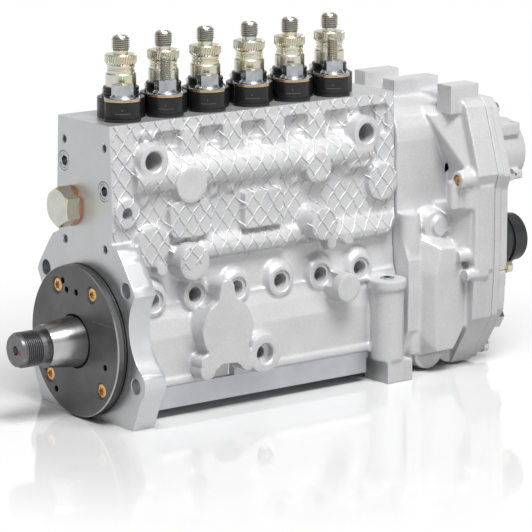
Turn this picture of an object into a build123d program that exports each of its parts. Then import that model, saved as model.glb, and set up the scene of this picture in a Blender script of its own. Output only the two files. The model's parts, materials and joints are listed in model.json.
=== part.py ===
# Six cylinder in line diesel injection pump with an electronic governor housing.
# Millimetres. X runs along the camshaft, Y across the pump, Z up along the elements.
import os
from math import cos, radians, sin, sqrt

from build123d import *

os.makedirs("parts", exist_ok=True)

# Element row
element_pitch = 34.5
centre_gap = 36.9
first_element = 30.2
elements = 6

# Pump body
block_half = 29.8
wall_half = 32.0
top_z = 147.6
step_z = 50.0
flange_t = 17.0
cambox_half = 40.0
cambox_base = -30.4
base_z = -52.0
rear_margin = 33.9

# Running and working clearances
run_fit = 0.05
free_gap = 0.5

# Camshaft and tappets
base_r = 16.0
cam_lift = 11.0
nose_r = 6.0
cam_width = 11.0
first_lobe_deg = 15.0
roller_r = 9.0
roller_pin_r = 4.0
roller_width = 11.0
tappet_r = 15.0
chamber_r = 29.0
shaft_r = 17.5
journal_r = 15.0
core_r = 12.5
nut_end_r = 12.0

# Bearings and drive end cover
bearing_outer_r = 31.0
bearing_roller_r = 3.5
bearing_rollers = 16
bearing_width = 12.0
cover_r = 51.5
cover_t = 9.2
spigot_r = 36.0

# Elements
plunger_r = 5.0
barrel_r = 12.0
barrel_foot_r = 7.5
gallery_r = 15.5
holder_r = 10.2
tip_z = 201.5
stud_r = 4.0
stud_reach = 20.4
stud_deg = 58.0
lobe_half = 12.0
flange_body_r = 16.1
flange_top = 161.0

# Control rack
rack_y = 15.0
rack_z = 88.5
rack_r = 5.0
lever_r = 2.1
lever_gap = 0.5

# Governor housing
gov_x1 = 302.0
gov_wall = 5.0
gov_cover_t = 15.0

cylinder_x = []
for i in range(elements):
    extra = centre_gap - element_pitch if i > 2 else 0.0
    cylinder_x.append(first_element + element_pitch * i + extra)
block_x1 = cylinder_x[5] + rear_margin
cover_x1 = gov_x1 + gov_cover_t
nose_top = base_r + cam_lift
roller_z = nose_top + roller_r + 0.3
tappet_z0 = roller_z - 6.0
tappet_floor = tappet_z0 + 16.7
tappet_z1 = tappet_z0 + 26.0
front_x1 = 14.0
rear_bearing_x = block_x1 - 1.0 - bearing_width


def rods_x(x0, x1, places, r, mode=Mode.ADD):
    with Locations(*[((x0 + x1) / 2, y, z) for y, z in places]):
        Cylinder(r, x1 - x0, rotation=(0, 90, 0), mode=mode)


def rods_y(y0, y1, places, r, mode=Mode.ADD):
    with Locations(*[(x, (y0 + y1) / 2, z) for x, z in places]):
        Cylinder(r, y1 - y0, rotation=(90, 0, 0), mode=mode)


def rods_z(z0, z1, places, r, mode=Mode.ADD):
    with Locations(*[(x, y, (z0 + z1) / 2) for x, y in places]):
        Cylinder(r, z1 - z0, mode=mode)


def rod_x(x0, x1, y, z, r, mode=Mode.ADD):
    rods_x(x0, x1, [(y, z)], r, mode)


def rod_y(y0, y1, x, z, r, mode=Mode.ADD):
    rods_y(y0, y1, [(x, z)], r, mode)


def rod_z(z0, z1, x, y, r, mode=Mode.ADD):
    rods_z(z0, z1, [(x, y)], r, mode)


def block(x0, x1, y0, y1, z0, z1, mode=Mode.ADD):
    with Locations(((x0 + x1) / 2, (y0 + y1) / 2, (z0 + z1) / 2)):
        Box(x1 - x0, y1 - y0, z1 - z0, mode=mode)


def turned_x(points, mode=Mode.ADD):
    with BuildSketch(Plane.XY) as profile:
        with BuildLine():
            Polyline(*points, close=True)
        make_face()
    revolve(profile.sketch, axis=Axis.X, mode=mode)


def turned_z(points, x, y, mode=Mode.ADD):
    with BuildSketch(Plane((x, y, 0), x_dir=(1, 0, 0), z_dir=(0, -1, 0))) as profile:
        with BuildLine():
            Polyline(*points, close=True)
        make_face()
    revolve(profile.sketch, axis=Axis((x, y, 0), (0, 0, 1)), mode=mode)


def slab_x(points, x0, x1, mode=Mode.ADD):
    with BuildSketch(Plane.YZ.offset(x0)) as outline:
        with BuildLine():
            Polyline(*points, close=True)
        make_face()
    extrude(outline.sketch, amount=x1 - x0, mode=mode)


def hex_x(x0, x1, y, z, across_flats, turn=0):
    with BuildSketch(Plane.YZ.offset(x0)) as outline:
        with Locations((y, z)):
            RegularPolygon(across_flats / sqrt(3), 6, rotation=turn)
    extrude(outline.sketch, amount=x1 - x0)


def save(part, name):
    part.label = name
    export_step(part, "parts/" + name + ".step")


stud_dx = stud_reach * cos(radians(stud_deg))
stud_dy = stud_reach * sin(radians(stud_deg))
element_points = [(cx, 0) for cx in cylinder_x]
stud_points = []
for cx in cylinder_x:
    stud_points.append((cx - stud_dx, -stud_dy))
    stud_points.append((cx + stud_dx, stud_dy))

# Pump housing
cover_screws = [(-30.5, -28.3), (30.5, -28.3), (-20.4, 34.7), (20.4, 34.7)]
foot_points = [(220.8, -46.0), (220.8, 46.0)]
joint_screws = [(-20.0, 66.0), (20.0, 66.0), (-20.0, 118.0), (20.0, 118.0)]
tray_screws = [(x, side * 36.3) for x in (30, 90, 150, 202) for side in (-1, 1)]
gallery_points = [(-22.9, 103.5), (23.6, 117.6)]
flange_holes = [(-47.0, 41.0), (47.0, 41.0), (-57.7, -21.3), (57.7, -21.3)]
side_bosses = [
    (cylinder_x[0], 122.0, 38.0, 11.6),
    (cylinder_x[5] + 3.7, 122.3, 38.0, 11.6),
    (60.0, 103.5, 39.0, 12.4),
    (165.5, 104.0, 40.0, 11.0),
    (225.0, 86.5, 36.0, 13.0),
    (164.6, 66.0, 48.0, 11.4),
    (58.4, 52.0, 44.0, 12.2),
    (11.0, 88.8, 34.0, 10.0),
    (30.0, 65.0, 36.5, 14.0),
    (112.6, -16.9, 50.0, 13.4),
    (182.8, 19.5, 52.0, 10.0),
    (179.4, 49.0, 37.0, 4.5),
    (194.3, 50.5, 37.0, 4.5),
    (37.2, 49.0, 37.0, 4.5),
]
with BuildPart() as pump_housing:
    with BuildSketch(Plane.YZ):
        with BuildLine():
            Polyline(
                (0, top_z),
                (block_half, top_z),
                (wall_half, 100),
                (wall_half, 80),
                (30.5, 69),
                (37.8, 66.4),
                (43.3, 59.8),
                (55.8, 42.3),
                (57.3, 38.2),
            )
            ThreePointArc((57.3, 38.2), (50.3, 16.9), (63.0, -10.8))
            ThreePointArc((63.0, -10.8), (68.6, -20.5), (64.3, -29.5))
            Polyline((64.3, -29.5), (54.4, base_z), (0, base_z))
            mirror(about=Plane.YZ)
        make_face()
    extrude(amount=flange_t)
    with BuildSketch(Plane.YZ.offset(flange_t)):
        with BuildLine():
            Polyline(
                (0, top_z),
                (block_half, top_z),
                (wall_half - 0.8, 100),
                (wall_half - 0.8, 56),
                (wall_half - 3.0, step_z),
                (wall_half - 1.0, 26),
                (cambox_half - 4.0, 14),
                (cambox_half - 0.8, 2),
                (cambox_half, cambox_base + 5),
                (cambox_half + 1.8, cambox_base + 5),
                (cambox_half + 1.8, cambox_base),
                (0, cambox_base),
            )
            mirror(about=Plane.YZ)
        make_face()
    extrude(amount=block_x1 - flange_t)
    # Pockets under the top lip
    block(flange_t + 5, block_x1 - 6, -45, -24.5, 119, top_z - 8, mode=Mode.SUBTRACT)
    block(flange_t + 5, block_x1 - 6, 25.5, 45, 125, top_z - 8, mode=Mode.SUBTRACT)
    # Gallery ridge, lower ridge and barrel columns on both long sides
    rods_x(flange_t, 215, [(-27.0, 110), (27.0, 110)], 11.5)
    rods_x(46, block_x1 - 2, [(-27.0, 58), (27.0, 58)], 8.0)
    columns = [(cx, side * 18.0) for cx in cylinder_x for side in (-1, 1)]
    rods_z(118, top_z - 6, columns, 11.0)
    for x, z, face, r in side_bosses:
        rod_y(-face, -27, x, z, r)
    # Tappet hole bosses
    rods_y(-36.5, -20, [(cx, 28) for cx in cylinder_x], 10.6)
    # Pads on the visible side
    with BuildSketch(Plane.XZ.offset(30)):
        with Locations((60.5, 80.5)):
            RectangleRounded(34, 25, 7)
        with Locations((121.2, 80.5)):
            RectangleRounded(33, 25, 2)
    extrude(amount=7)
    # Blank feed pump pad
    with BuildSketch(Plane.XZ.offset(34)):
        with Locations((80, 5)):
            Circle(21.3)
        with BuildLine():
            Polyline((73.6, 33), (62.5, -21), (95, -23), (100, -16), (85.4, 33), close=True)
        make_face()
        with Locations((79.5, 33.3)):
            Circle(5.9)
        with Locations((62.5, -16), (95, -18)):
            Circle(5.5)
    extrude(amount=18)
    # Rear feet with capped pillars
    rods_z(-36.4, 14, foot_points, 11.7)
    rods_z(14, 20.8, foot_points, 13.5)
    for side in (-1, 1):
        block(212, 236, min(side * 30, side * 46), max(side * 30, side * 46), -36.4, 12)
        block(214, 236, min(side * 30, side * 56), max(side * 30, side * 56), base_z, -36.4)
    # Web under the rear bearing
    block(207, block_x1, -36, 36, -36.4, cambox_base)
    # Cam chamber, open below to the bottom cover
    rod_x(front_x1, rear_bearing_x - 2, 0, 0, chamber_r, mode=Mode.SUBTRACT)
    block(front_x1 + 3, 207, -32, 32, base_z, -14, mode=Mode.SUBTRACT)
    # Bearing seats
    rod_x(0, front_x1, 0, 0, spigot_r, mode=Mode.SUBTRACT)
    rod_x(rear_bearing_x - 2, block_x1, 0, 0, bearing_outer_r, mode=Mode.SUBTRACT)
    # Tappet bores, spring wells and element bores
    rods_z(10, 80, element_points, tappet_r + run_fit, mode=Mode.SUBTRACT)
    rods_z(80, 97, element_points, 13.0, mode=Mode.SUBTRACT)
    rods_z(97, top_z, element_points, barrel_r, mode=Mode.SUBTRACT)
    rods_z(101, 128, element_points, gallery_r, mode=Mode.SUBTRACT)
    rods_y(-44, -10, [(cx, 28) for cx in cylinder_x], 5.2, mode=Mode.SUBTRACT)
    rods_y(-44, -35.0, [(cx, 28) for cx in cylinder_x], 7.5, mode=Mode.SUBTRACT)
    # Rack tunnel with room for the levers
    rod_x(0, 10, rack_y, rack_z, 8.0, mode=Mode.SUBTRACT)
    rod_x(10, block_x1, rack_y, rack_z, rack_r + free_gap, mode=Mode.SUBTRACT)
    rod_x(10, 15, rack_y, rack_z, rack_r + 2.0, mode=Mode.SUBTRACT)
    rod_x(block_x1 - 6, block_x1, rack_y, rack_z, rack_r + 2.0, mode=Mode.SUBTRACT)
    block(front_x1 + 2, 225, 4, 21.5, 83.5, 98.5, mode=Mode.SUBTRACT)
    # Fuel galleries and their front openings
    rods_x(0, 225, gallery_points, 5.0, mode=Mode.SUBTRACT)
    rods_x(0, 7, gallery_points, 6.9, mode=Mode.SUBTRACT)
    rod_y(-60, -13, cylinder_x[0], 122, 6.6, mode=Mode.SUBTRACT)
    rod_y(-60, -13, cylinder_x[5] + 3.7, 122.3, 6.6, mode=Mode.SUBTRACT)
    # Ports and drillings on the visible side
    rod_y(-60, -44, 112.6, -16.9, 6.8, mode=Mode.SUBTRACT)
    rod_y(-44, -25, 112.6, -16.9, 4.0, mode=Mode.SUBTRACT)
    rod_y(-60, -26, 11.0, 88.8, 4.0, mode=Mode.SUBTRACT)
    # Stud holes, flange holes and small threaded holes
    rods_z(133, top_z, stud_points, stud_r, mode=Mode.SUBTRACT)
    rods_x(0, flange_t, flange_holes, 5.2, mode=Mode.SUBTRACT)
    rods_x(0, 12, cover_screws, 2.5, mode=Mode.SUBTRACT)
    small_holes = [(-23.4, 132.3), (23.4, 132.3), (-23.4, 64.6), (23.4, 64.6)]
    rods_x(0, 12, small_holes, 2.5, mode=Mode.SUBTRACT)
    rods_z(16, 20.8, foot_points, 5.0, mode=Mode.SUBTRACT)
    rods_z(base_z, 16, foot_points, 4.3, mode=Mode.SUBTRACT)
    rods_x(block_x1 - 14, block_x1, joint_screws, 3.0, mode=Mode.SUBTRACT)
    rods_z(cambox_base, cambox_base + 10, tray_screws, 2.5, mode=Mode.SUBTRACT)
save(pump_housing.part, "pump_housing")

# Bottom cover tray and its screws
tray_floor = -45.4
with BuildPart() as bottom_cover:
    block(flange_t, 207, -cambox_half - 0.6, cambox_half + 0.6, tray_floor, cambox_base)
    block(flange_t + 4, 203, -32, 32, tray_floor + 5, cambox_base, mode=Mode.SUBTRACT)
    rods_z(tray_floor, cambox_base, tray_screws, 2.5, mode=Mode.SUBTRACT)
    rods_z(tray_floor, tray_floor + 4, tray_screws, 3.8, mode=Mode.SUBTRACT)
save(bottom_cover.part, "bottom_cover")

# Drive end cover, seal ring and screws
cover_holes = [(13.1, 39.0), (8.6, 33.6), (-2.7, 33.5), (-35.9, -11.5), (22.3, -37.0)]
seal_r = 25.0
cover_profile = [
    (-cover_t, 18.5),
    (-cover_t, cover_r - 0.8),
    (-cover_t + 0.8, cover_r),
    (-4.6, cover_r),
    (-4.6, cover_r - 2.4),
    (-1.6, cover_r - 2.4),
    (-1.6, cover_r),
    (0, cover_r),
    (0, spigot_r),
    (front_x1, spigot_r),
    (front_x1, bearing_outer_r),
    (front_x1 - bearing_width, bearing_outer_r),
    (front_x1 - bearing_width, seal_r),
    (-6.2, seal_r),
    (-6.2, 18.5),
]
with BuildPart() as end_cover:
    turned_x(cover_profile)
    rods_x(-cover_t, -cover_t + 4, cover_holes, 2.2, mode=Mode.SUBTRACT)
    rods_x(-cover_t, 0, cover_screws, 2.5, mode=Mode.SUBTRACT)
    with Locations(*[(-cover_t + 1.75, y, z) for y, z in cover_screws]):
        Cone(6.0, 2.5, 3.5, rotation=(0, 90, 0), mode=Mode.SUBTRACT)
save(end_cover.part, "bearing_end_cover")

with BuildPart() as end_screws:
    rods_x(-cover_t + 3.5, 12, cover_screws, 2.5)
    with Locations(*[(-cover_t + 2.05, y, z) for y, z in cover_screws]):
        Cone(5.4, 2.5, 2.9, rotation=(0, 90, 0))
    rods_x(-cover_t, -cover_t + 2.6, cover_screws, 1.8, mode=Mode.SUBTRACT)
save(end_screws.part, "end_cover_screws")

seal_profile = [
    (-6.2, seal_r),
    (1.8, seal_r),
    (1.8, seal_r - 2),
    (-3.5, seal_r - 2),
    (-3.5, shaft_r + run_fit),
    (-6.2, shaft_r + run_fit),
]
with BuildPart() as shaft_seal:
    turned_x(seal_profile)

with BuildPart() as cover_ring:
    with BuildSketch(Plane.XY):
        with Locations((-3.1, cover_r - 1.2)):
            Circle(1.19)
    revolve(axis=Axis.X)
save(Compound(children=[shaft_seal.part, cover_ring.part]), "rubber_seals")

# Roller bearings at both ends
pitch_r = 0.5 * (journal_r + bearing_outer_r) + 0.2
cup_r = pitch_r + bearing_roller_r + run_fit
cone_r = pitch_r - bearing_roller_r - run_fit
front_bearing_x = front_x1 - bearing_width
with BuildPart() as bearing_cups:
    for x0 in (front_bearing_x, rear_bearing_x):
        rod_x(x0, x0 + bearing_width, 0, 0, bearing_outer_r)
    for x0 in (front_bearing_x, rear_bearing_x):
        rod_x(x0, x0 + bearing_width, 0, 0, cup_r, mode=Mode.SUBTRACT)
save(bearing_cups.part, "bearing_outer_races")

with BuildPart() as bearing_cones:
    for x0 in (front_bearing_x, rear_bearing_x):
        rod_x(x0, x0 + bearing_width, 0, 0, cone_r)
    for x0 in (front_bearing_x, rear_bearing_x):
        rod_x(x0, x0 + bearing_width, 0, 0, journal_r, mode=Mode.SUBTRACT)
save(bearing_cones.part, "bearing_inner_races")


roller_points = []
for k in range(bearing_rollers):
    a = radians(360.0 / bearing_rollers * k)
    roller_points.append((pitch_r * cos(a), pitch_r * sin(a)))
with BuildPart() as cages:
    for x0 in (front_bearing_x, rear_bearing_x):
        rod_x(x0 + 0.8, x0 + bearing_width - 0.8, 0, 0, pitch_r + 1.6)
    for x0 in (front_bearing_x, rear_bearing_x):
        rod_x(x0, x0 + bearing_width, 0, 0, pitch_r - 1.6, mode=Mode.SUBTRACT)
        rods_x(x0 + 2.0, x0 + bearing_width - 2.0, roller_points, bearing_roller_r + 0.1,
               mode=Mode.SUBTRACT)
with BuildPart() as rollers:
    for x0 in (front_bearing_x, rear_bearing_x):
        rods_x(x0 + 2.1, x0 + bearing_width - 2.1, roller_points, bearing_roller_r)
save(Compound(children=[cages.part, rollers.part]), "bearing_rollers")

# Camshaft with six lobes, the feed pump eccentric and both ends
nose_d = nose_top - nose_r
firing_order = [0, 4, 2, 5, 1, 3]
lobe_deg = [0.0] * elements
for step, cylinder in enumerate(firing_order):
    lobe_deg[cylinder] = first_lobe_deg + 60.0 * step
wheel_x0 = block_x1 + 9.0
wheel_x1 = wheel_x0 + 8.0
with BuildPart() as camshaft:
    turned_x(
        [
            (-56.0, 0),
            (-56.0, nut_end_r - 1.2),
            (-54.8, nut_end_r),
            (-37.5, nut_end_r),
            (-37.5, nut_end_r - 1.6),
            (-35.0, nut_end_r - 1.6),
            (-35.0, shaft_r - 3.2),
            (-cover_t, shaft_r),
            (front_bearing_x, shaft_r),
            (front_bearing_x, journal_r),
            (front_x1, journal_r),
            (front_x1, core_r + 4.0),
            (front_x1 + 3, core_r + 4.0),
            (front_x1 + 3, core_r),
            (rear_bearing_x - 3, core_r),
            (rear_bearing_x - 3, core_r + 4.0),
            (rear_bearing_x, core_r + 4.0),
            (rear_bearing_x, journal_r),
            (wheel_x0, journal_r),
            (wheel_x0, core_r),
            (wheel_x1, core_r),
            (wheel_x1, 9.0),
            (wheel_x1 + 10.0, 9.0),
            (wheel_x1 + 10.0, 0),
        ]
    )
    for cx, deg in zip(cylinder_x, lobe_deg):
        with BuildSketch(Plane.YZ.offset(cx - cam_width / 2)):
            Circle(base_r)
            ny = -nose_d * sin(radians(deg))
            nz = nose_d * cos(radians(deg))
            with Locations((ny, nz)):
                Circle(nose_r)
            make_hull()
        extrude(amount=cam_width)
    feed_x = (cylinder_x[1] + cylinder_x[2]) / 2
    rod_x(feed_x - 5, feed_x + 5, 4.0, 0, core_r + 3.0)
    with Locations((-56.0 + 2.5, 0, 0)):
        Cone(3.2, 0.8, 5.0, rotation=(0, 90, 0), mode=Mode.SUBTRACT)
save(camshaft.part, "camshaft")

# Speed wheel on the rear end of the camshaft and its nut
wheel_r = 33.0
with BuildPart() as speed_wheel:
    rod_x(wheel_x0, wheel_x1, 0, 0, wheel_r)
    rod_x(wheel_x0, wheel_x1, 0, 0, core_r, mode=Mode.SUBTRACT)
    notches = [radians(15.0 * k) for k in range(24)]
    rods_x(wheel_x0, wheel_x1, [(wheel_r * cos(a), wheel_r * sin(a)) for a in notches], 2.6,
           mode=Mode.SUBTRACT)

with BuildPart() as wheel_nut:
    hex_x(wheel_x1, wheel_x1 + 8, 0, 0, 27.0)
    rod_x(wheel_x1, wheel_x1 + 8, 0, 0, 9.0, mode=Mode.SUBTRACT)
save(Compound(children=[speed_wheel.part, wheel_nut.part]), "speed_wheel_and_nut")

# Tappets with roller, pin and lower spring seat as separate solids
seat_z = tappet_floor + 3.3
plunger_foot_r = 6.5


def tappet_group(cx, number):
    with BuildPart() as shell:
        rod_z(tappet_z0, tappet_z1, cx, 0, tappet_r)
        rod_z(tappet_floor, tappet_z1, cx, 0, 12.9, mode=Mode.SUBTRACT)
        x0 = cx - roller_width / 2 - 0.3
        x1 = cx + roller_width / 2 + 0.3
        block(x0, x1, -16, 16, tappet_z0 - 1, roller_z + 2, mode=Mode.SUBTRACT)
        rod_x(x0, x1, 0, roller_z, roller_r + 0.6, mode=Mode.SUBTRACT)
        rod_x(cx - 13, cx + 13, 0, roller_z, roller_pin_r, mode=Mode.SUBTRACT)
    with BuildPart() as pin:
        rod_x(cx - 12.8, cx + 12.8, 0, roller_z, roller_pin_r)
    with BuildPart() as roller:
        half = roller_width / 2
        rod_x(cx - half, cx + half, 0, roller_z, roller_r)
        rod_x(cx - half, cx + half, 0, roller_z, roller_pin_r + run_fit, mode=Mode.SUBTRACT)
    with BuildPart() as seat:
        rod_z(seat_z, seat_z + 2, cx, 0, 12.5)
        rod_z(seat_z, seat_z + 2, cx, 0, plunger_r + 0.4, mode=Mode.SUBTRACT)
        with BuildSketch(Plane.XY.offset(tappet_floor)):
            with Locations((cx, 0)):
                Circle(12.5)
                Circle(plunger_foot_r + 0.5, mode=Mode.SUBTRACT)
        extrude(amount=seat_z - tappet_floor)
    group = Compound(children=[shell.part, pin.part, roller.part, seat.part])
    save(group, "tappet_" + str(number))


# Plungers with control lugs and a helix groove
sleeve_z0 = 64.0
barrel_z0 = 88.0
lug_z = barrel_z0 - 8.0
plunger_top = 131.0


def plunger_piece(cx, number):
    with BuildPart() as plunger:
        foot_z = tappet_floor + 0.1
        rod_z(foot_z, foot_z + 3.0, cx, 0, plunger_foot_r)
        rod_z(foot_z, plunger_top, cx, 0, plunger_r)
        block(cx - 8.2, cx + 8.2, -2.6, 2.6, lug_z, lug_z + 4)
        with Locations((cx + plunger_r, 0, plunger_top - 7)):
            Box(3.0, 8.0, 3.0, rotation=(35, 0, 0), mode=Mode.SUBTRACT)
        block(cx + plunger_r - 1.2, cx + plunger_r + 1, -0.8, 0.8, plunger_top - 7,
              plunger_top, mode=Mode.SUBTRACT)
    save(plunger.part, "plunger_" + str(number))


# Control sleeves with slotted skirt and lever pin
ring_r = rack_y - rack_r - 0.6
skirt_r = 8.9
arm_z = rack_z + rack_r + 0.7


def sleeve_piece(cx, number):
    with BuildPart() as sleeve:
        rod_z(sleeve_z0, barrel_z0 + 7, cx, 0, skirt_r)
        rod_z(82.5, barrel_z0 + 8.5, cx, 0, ring_r)
        block(cx - 3.0, cx + 3.0, 0, rack_y + 1, arm_z, barrel_z0 + 8.5)
        rod_z(arm_z, barrel_z0 + 8.5, cx, rack_y, 3.0)
        rod_z(rack_z + 0.8, arm_z, cx, rack_y, lever_r)
        rod_z(sleeve_z0, barrel_z0 + 8.5, cx, 0, barrel_foot_r + run_fit, mode=Mode.SUBTRACT)
        block(cx - 10, cx + 10, -3.0, 3.0, sleeve_z0, lug_z + 5, mode=Mode.SUBTRACT)
    save(sleeve.part, "control_sleeve_" + str(number))


# Plunger springs
spring_r = 11.0
wire_r = 1.2
upper_seat_z = 78.0


def spring_piece(cx, number):
    z0 = seat_z + 2 + wire_r + 0.02
    z1 = upper_seat_z - wire_r - 0.02
    with BuildPart() as spring:
        with BuildLine(Plane((cx, 0, z0))):
            Helix((z1 - z0) / 4.5, z1 - z0, spring_r)
        with BuildSketch(Plane((cx + spring_r, 0, z0), x_dir=(1, 0, 0), z_dir=(0, 1, 0))):
            RegularPolygon(wire_r, 6, rotation=30)
        sweep(is_frenet=True)
    save(spring.part, "plunger_spring_" + str(number))


for i, cx in enumerate(cylinder_x):
    tappet_group(cx, i + 1)
    plunger_piece(cx, i + 1)
    sleeve_piece(cx, i + 1)
    spring_piece(cx, i + 1)

# Upper spring seats
with BuildPart() as upper_seats:
    rods_z(upper_seat_z, upper_seat_z + 2, element_points, tappet_r)
    rods_z(upper_seat_z, upper_seat_z + 2, element_points, skirt_r + free_gap,
           mode=Mode.SUBTRACT)
save(upper_seats.part, "upper_spring_seats")

# Barrels
barrel_top = 140.0
with BuildPart() as barrels:
    rods_z(barrel_z0, 97, element_points, barrel_foot_r)
    rods_z(97, barrel_top, element_points, barrel_r)
    rods_z(barrel_z0, barrel_top, element_points, plunger_r + run_fit, mode=Mode.SUBTRACT)
    rods_y(-20, 20, [(cx, 124) for cx in cylinder_x], 1.5, mode=Mode.SUBTRACT)
save(barrels.part, "plunger_barrels")

# Delivery valve bodies, valves and springs
with BuildPart() as valve_bodies:
    rods_z(barrel_top, barrel_top + 4, element_points, holder_r)
    rods_z(barrel_top + 4, barrel_top + 10, element_points, 7.0)
    rods_z(barrel_top, barrel_top + 10, element_points, 3.5, mode=Mode.SUBTRACT)
    with Locations(*[(cx, 0, barrel_top + 9) for cx in cylinder_x]):
        Cone(3.5, 5.0, 2.0, mode=Mode.SUBTRACT)
save(valve_bodies.part, "delivery_valve_bodies")

with BuildPart() as valves:
    for cx in cylinder_x:
        turned_z(
            [
                (0, barrel_top + 1),
                (3.4, barrel_top + 1),
                (3.4, barrel_top + 7.9),
                (4.9, barrel_top + 10),
                (4.9, barrel_top + 12),
                (2.6, barrel_top + 13),
                (2.6, barrel_top + 17),
                (0, barrel_top + 17),
            ],
            cx,
            0,
        )

with BuildPart() as valve_springs:
    for cx in cylinder_x:
        z0 = barrel_top + 13.5
        with BuildLine(Plane((cx, 0, z0))):
            Helix(4.4, 17.6, 4.2)
        with BuildSketch(Plane((cx + 4.2, 0, z0), x_dir=(1, 0, 0), z_dir=(0, 1, 0))):
            RegularPolygon(0.7, 6, rotation=30)
        sweep(is_frenet=True)
save(Compound(children=[valves.part, valve_springs.part]), "delivery_valves_and_springs")

# Delivery valve holders
holder_profile = [
    (7.2, barrel_top + 4),
    (holder_r, barrel_top + 4),
    (holder_r, 176.2),
    (holder_r - 0.7, 176.9),
    (9.2, 177.6),
    (9.2, 178.8),
    (8.7, 179.3),
    (8.7, 180.2),
    (9.2, 180.7),
    (9.2, 182.2),
    (10.6, 184.1),
    (10.6, 188.7),
    (9.9, 189.3),
    (5.0, 189.3),
    (5.0, 192.0),
    (6.1, 192.6),
    (6.1, tip_z - 1.2),
    (5.0, tip_z),
    (3.4, tip_z),
    (1.2, tip_z - 4.2),
    (1.2, 172.0),
    (7.2, 172.0),
]
with BuildPart() as holders:
    for cx in cylinder_x:
        turned_z(holder_profile, cx, 0)
save(holders.part, "delivery_valve_holders")

# Black barrel flanges with two lobes each
plate_z = top_z + 2.3


def lobe_shape(cx, side, inset):
    with BuildSketch() as lobe:
        with Locations(Location((cx, 0, 0), (0, 0, stud_deg if side > 0 else stud_deg + 180))):
            with Locations((14.5, 0)):
                Rectangle(29.0, 2 * (lobe_half - inset))
        with Locations(Location((cx, 0, 0), (0, 0, stud_deg if side > 0 else stud_deg + 180))):
            with Locations((14.8, 0)):
                Circle(14.2 - inset, mode=Mode.INTERSECT)
    return lobe.sketch


with BuildPart() as barrel_flanges:
    lobes = [lobe_shape(cx, side, 0.0) for cx in cylinder_x for side in (-1, 1)]
    extrude([f.moved(Location((0, 0, top_z))) for s in lobes for f in s.faces()], amount=2.3)
    lobes = [lobe_shape(cx, side, 0.5) for cx in cylinder_x for side in (-1, 1)]
    extrude([f.moved(Location((0, 0, plate_z))) for s in lobes for f in s.faces()],
            amount=flange_top - plate_z)
    rods_z(top_z, flange_top, element_points, flange_body_r)
    rods_z(flange_top, flange_top + 1.9, element_points, 12.9)
    rods_z(flange_top + 1.9, flange_top + 6.8, element_points, 12.0)
    rods_z(barrel_top, top_z, element_points, barrel_r)
    rods_z(barrel_top, flange_top + 8, element_points, holder_r, mode=Mode.SUBTRACT)
    rods_z(top_z, flange_top, stud_points, stud_r + 0.4, mode=Mode.SUBTRACT)
save(barrel_flanges.part, "barrel_flanges")

# Shims, flange nuts and studs
shim_top = flange_top + 1.9
with BuildPart() as shims:
    lobes = [lobe_shape(cx, side, 0.2) for cx in cylinder_x for side in (-1, 1)]
    extrude([f.moved(Location((0, 0, flange_top))) for s in lobes for f in s.faces()],
            amount=1.9)
    rods_z(flange_top, shim_top, element_points, 13.2, mode=Mode.SUBTRACT)
    rods_z(flange_top, shim_top, stud_points, stud_r + 0.4, mode=Mode.SUBTRACT)
save(shims.part, "flange_shims")

with BuildPart() as flange_nuts:
    rods_z(shim_top, shim_top + 2.5, stud_points, 8.2)
    with BuildSketch(Plane.XY.offset(shim_top + 2.5)):
        with Locations(*stud_points):
            RegularPolygon(12.6 / sqrt(3), 6)
    extrude(amount=6.7)
    rods_z(shim_top, shim_top + 9.2, stud_points, stud_r, mode=Mode.SUBTRACT)
save(flange_nuts.part, "flange_nuts")

with BuildPart() as flange_studs:
    for n, (x, y) in enumerate(stud_points):
        long_stud = n // 2 in (1, 5)
        rod_z(133, 187.5 if long_stud else shim_top + 8.6, x, y, stud_r)
save(flange_studs.part, "flange_studs")

# Plugs in the front face and on the feet
with BuildPart() as rack_plug:
    hex_x(-12.0, -1.5, rack_y, rack_z, 24.0, 30)
    rod_x(-1.5, 10, rack_y, rack_z, 8.0)
    rod_x(-9.5, 10, rack_y, rack_z, rack_r + 0.9, mode=Mode.SUBTRACT)
save(rack_plug.part, "rack_plug")

with BuildPart() as rack_washer:
    rod_x(-1.5, 0, rack_y, rack_z, 13.6)
    rod_x(-1.5, 0, rack_y, rack_z, 8.0, mode=Mode.SUBTRACT)
save(rack_washer.part, "rack_plug_washer")

with BuildPart() as gallery_plugs:
    rods_x(0.4, 7, gallery_points, 6.9)
    with BuildSketch(Plane.YZ.offset(0.4)):
        with Locations(*gallery_points):
            RegularPolygon(3.6, 6)
    extrude(amount=4, mode=Mode.SUBTRACT)

with BuildPart() as foot_plugs:
    rods_z(16, 21.6, foot_points, 5.0)
    with BuildSketch(Plane.XY.offset(18.5)):
        with Locations(*foot_points):
            RegularPolygon(2.9, 6)
    extrude(amount=3.1, mode=Mode.SUBTRACT)
save(Compound(children=[gallery_plugs.part, foot_plugs.part]), "socket_plugs")

# Control rack with a slot for each lever pin and the solenoid yoke
rack_travel = 10.5
rack_x0 = 3.5
rack_x1 = block_x1 + 30.0
slot_half = lever_r + lever_gap
with BuildPart() as control_rack:
    rod_x(rack_x0, rack_x1, rack_y, rack_z, rack_r)
    for cx in cylinder_x:
        block(cx - slot_half, cx + slot_half, rack_y - 6, rack_y + 6, rack_z + 0.3,
              rack_z + 6, mode=Mode.SUBTRACT)
save(control_rack.part, "control_rack")

with BuildPart() as rack_bush:
    rod_x(10, 15, rack_y, rack_z, rack_r + 2.0)
    rod_x(block_x1 - 6, block_x1, rack_y, rack_z, rack_r + 2.0)
    rod_x(10, block_x1, rack_y, rack_z, rack_r + run_fit, mode=Mode.SUBTRACT)
save(rack_bush.part, "rack_bushes")

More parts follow.
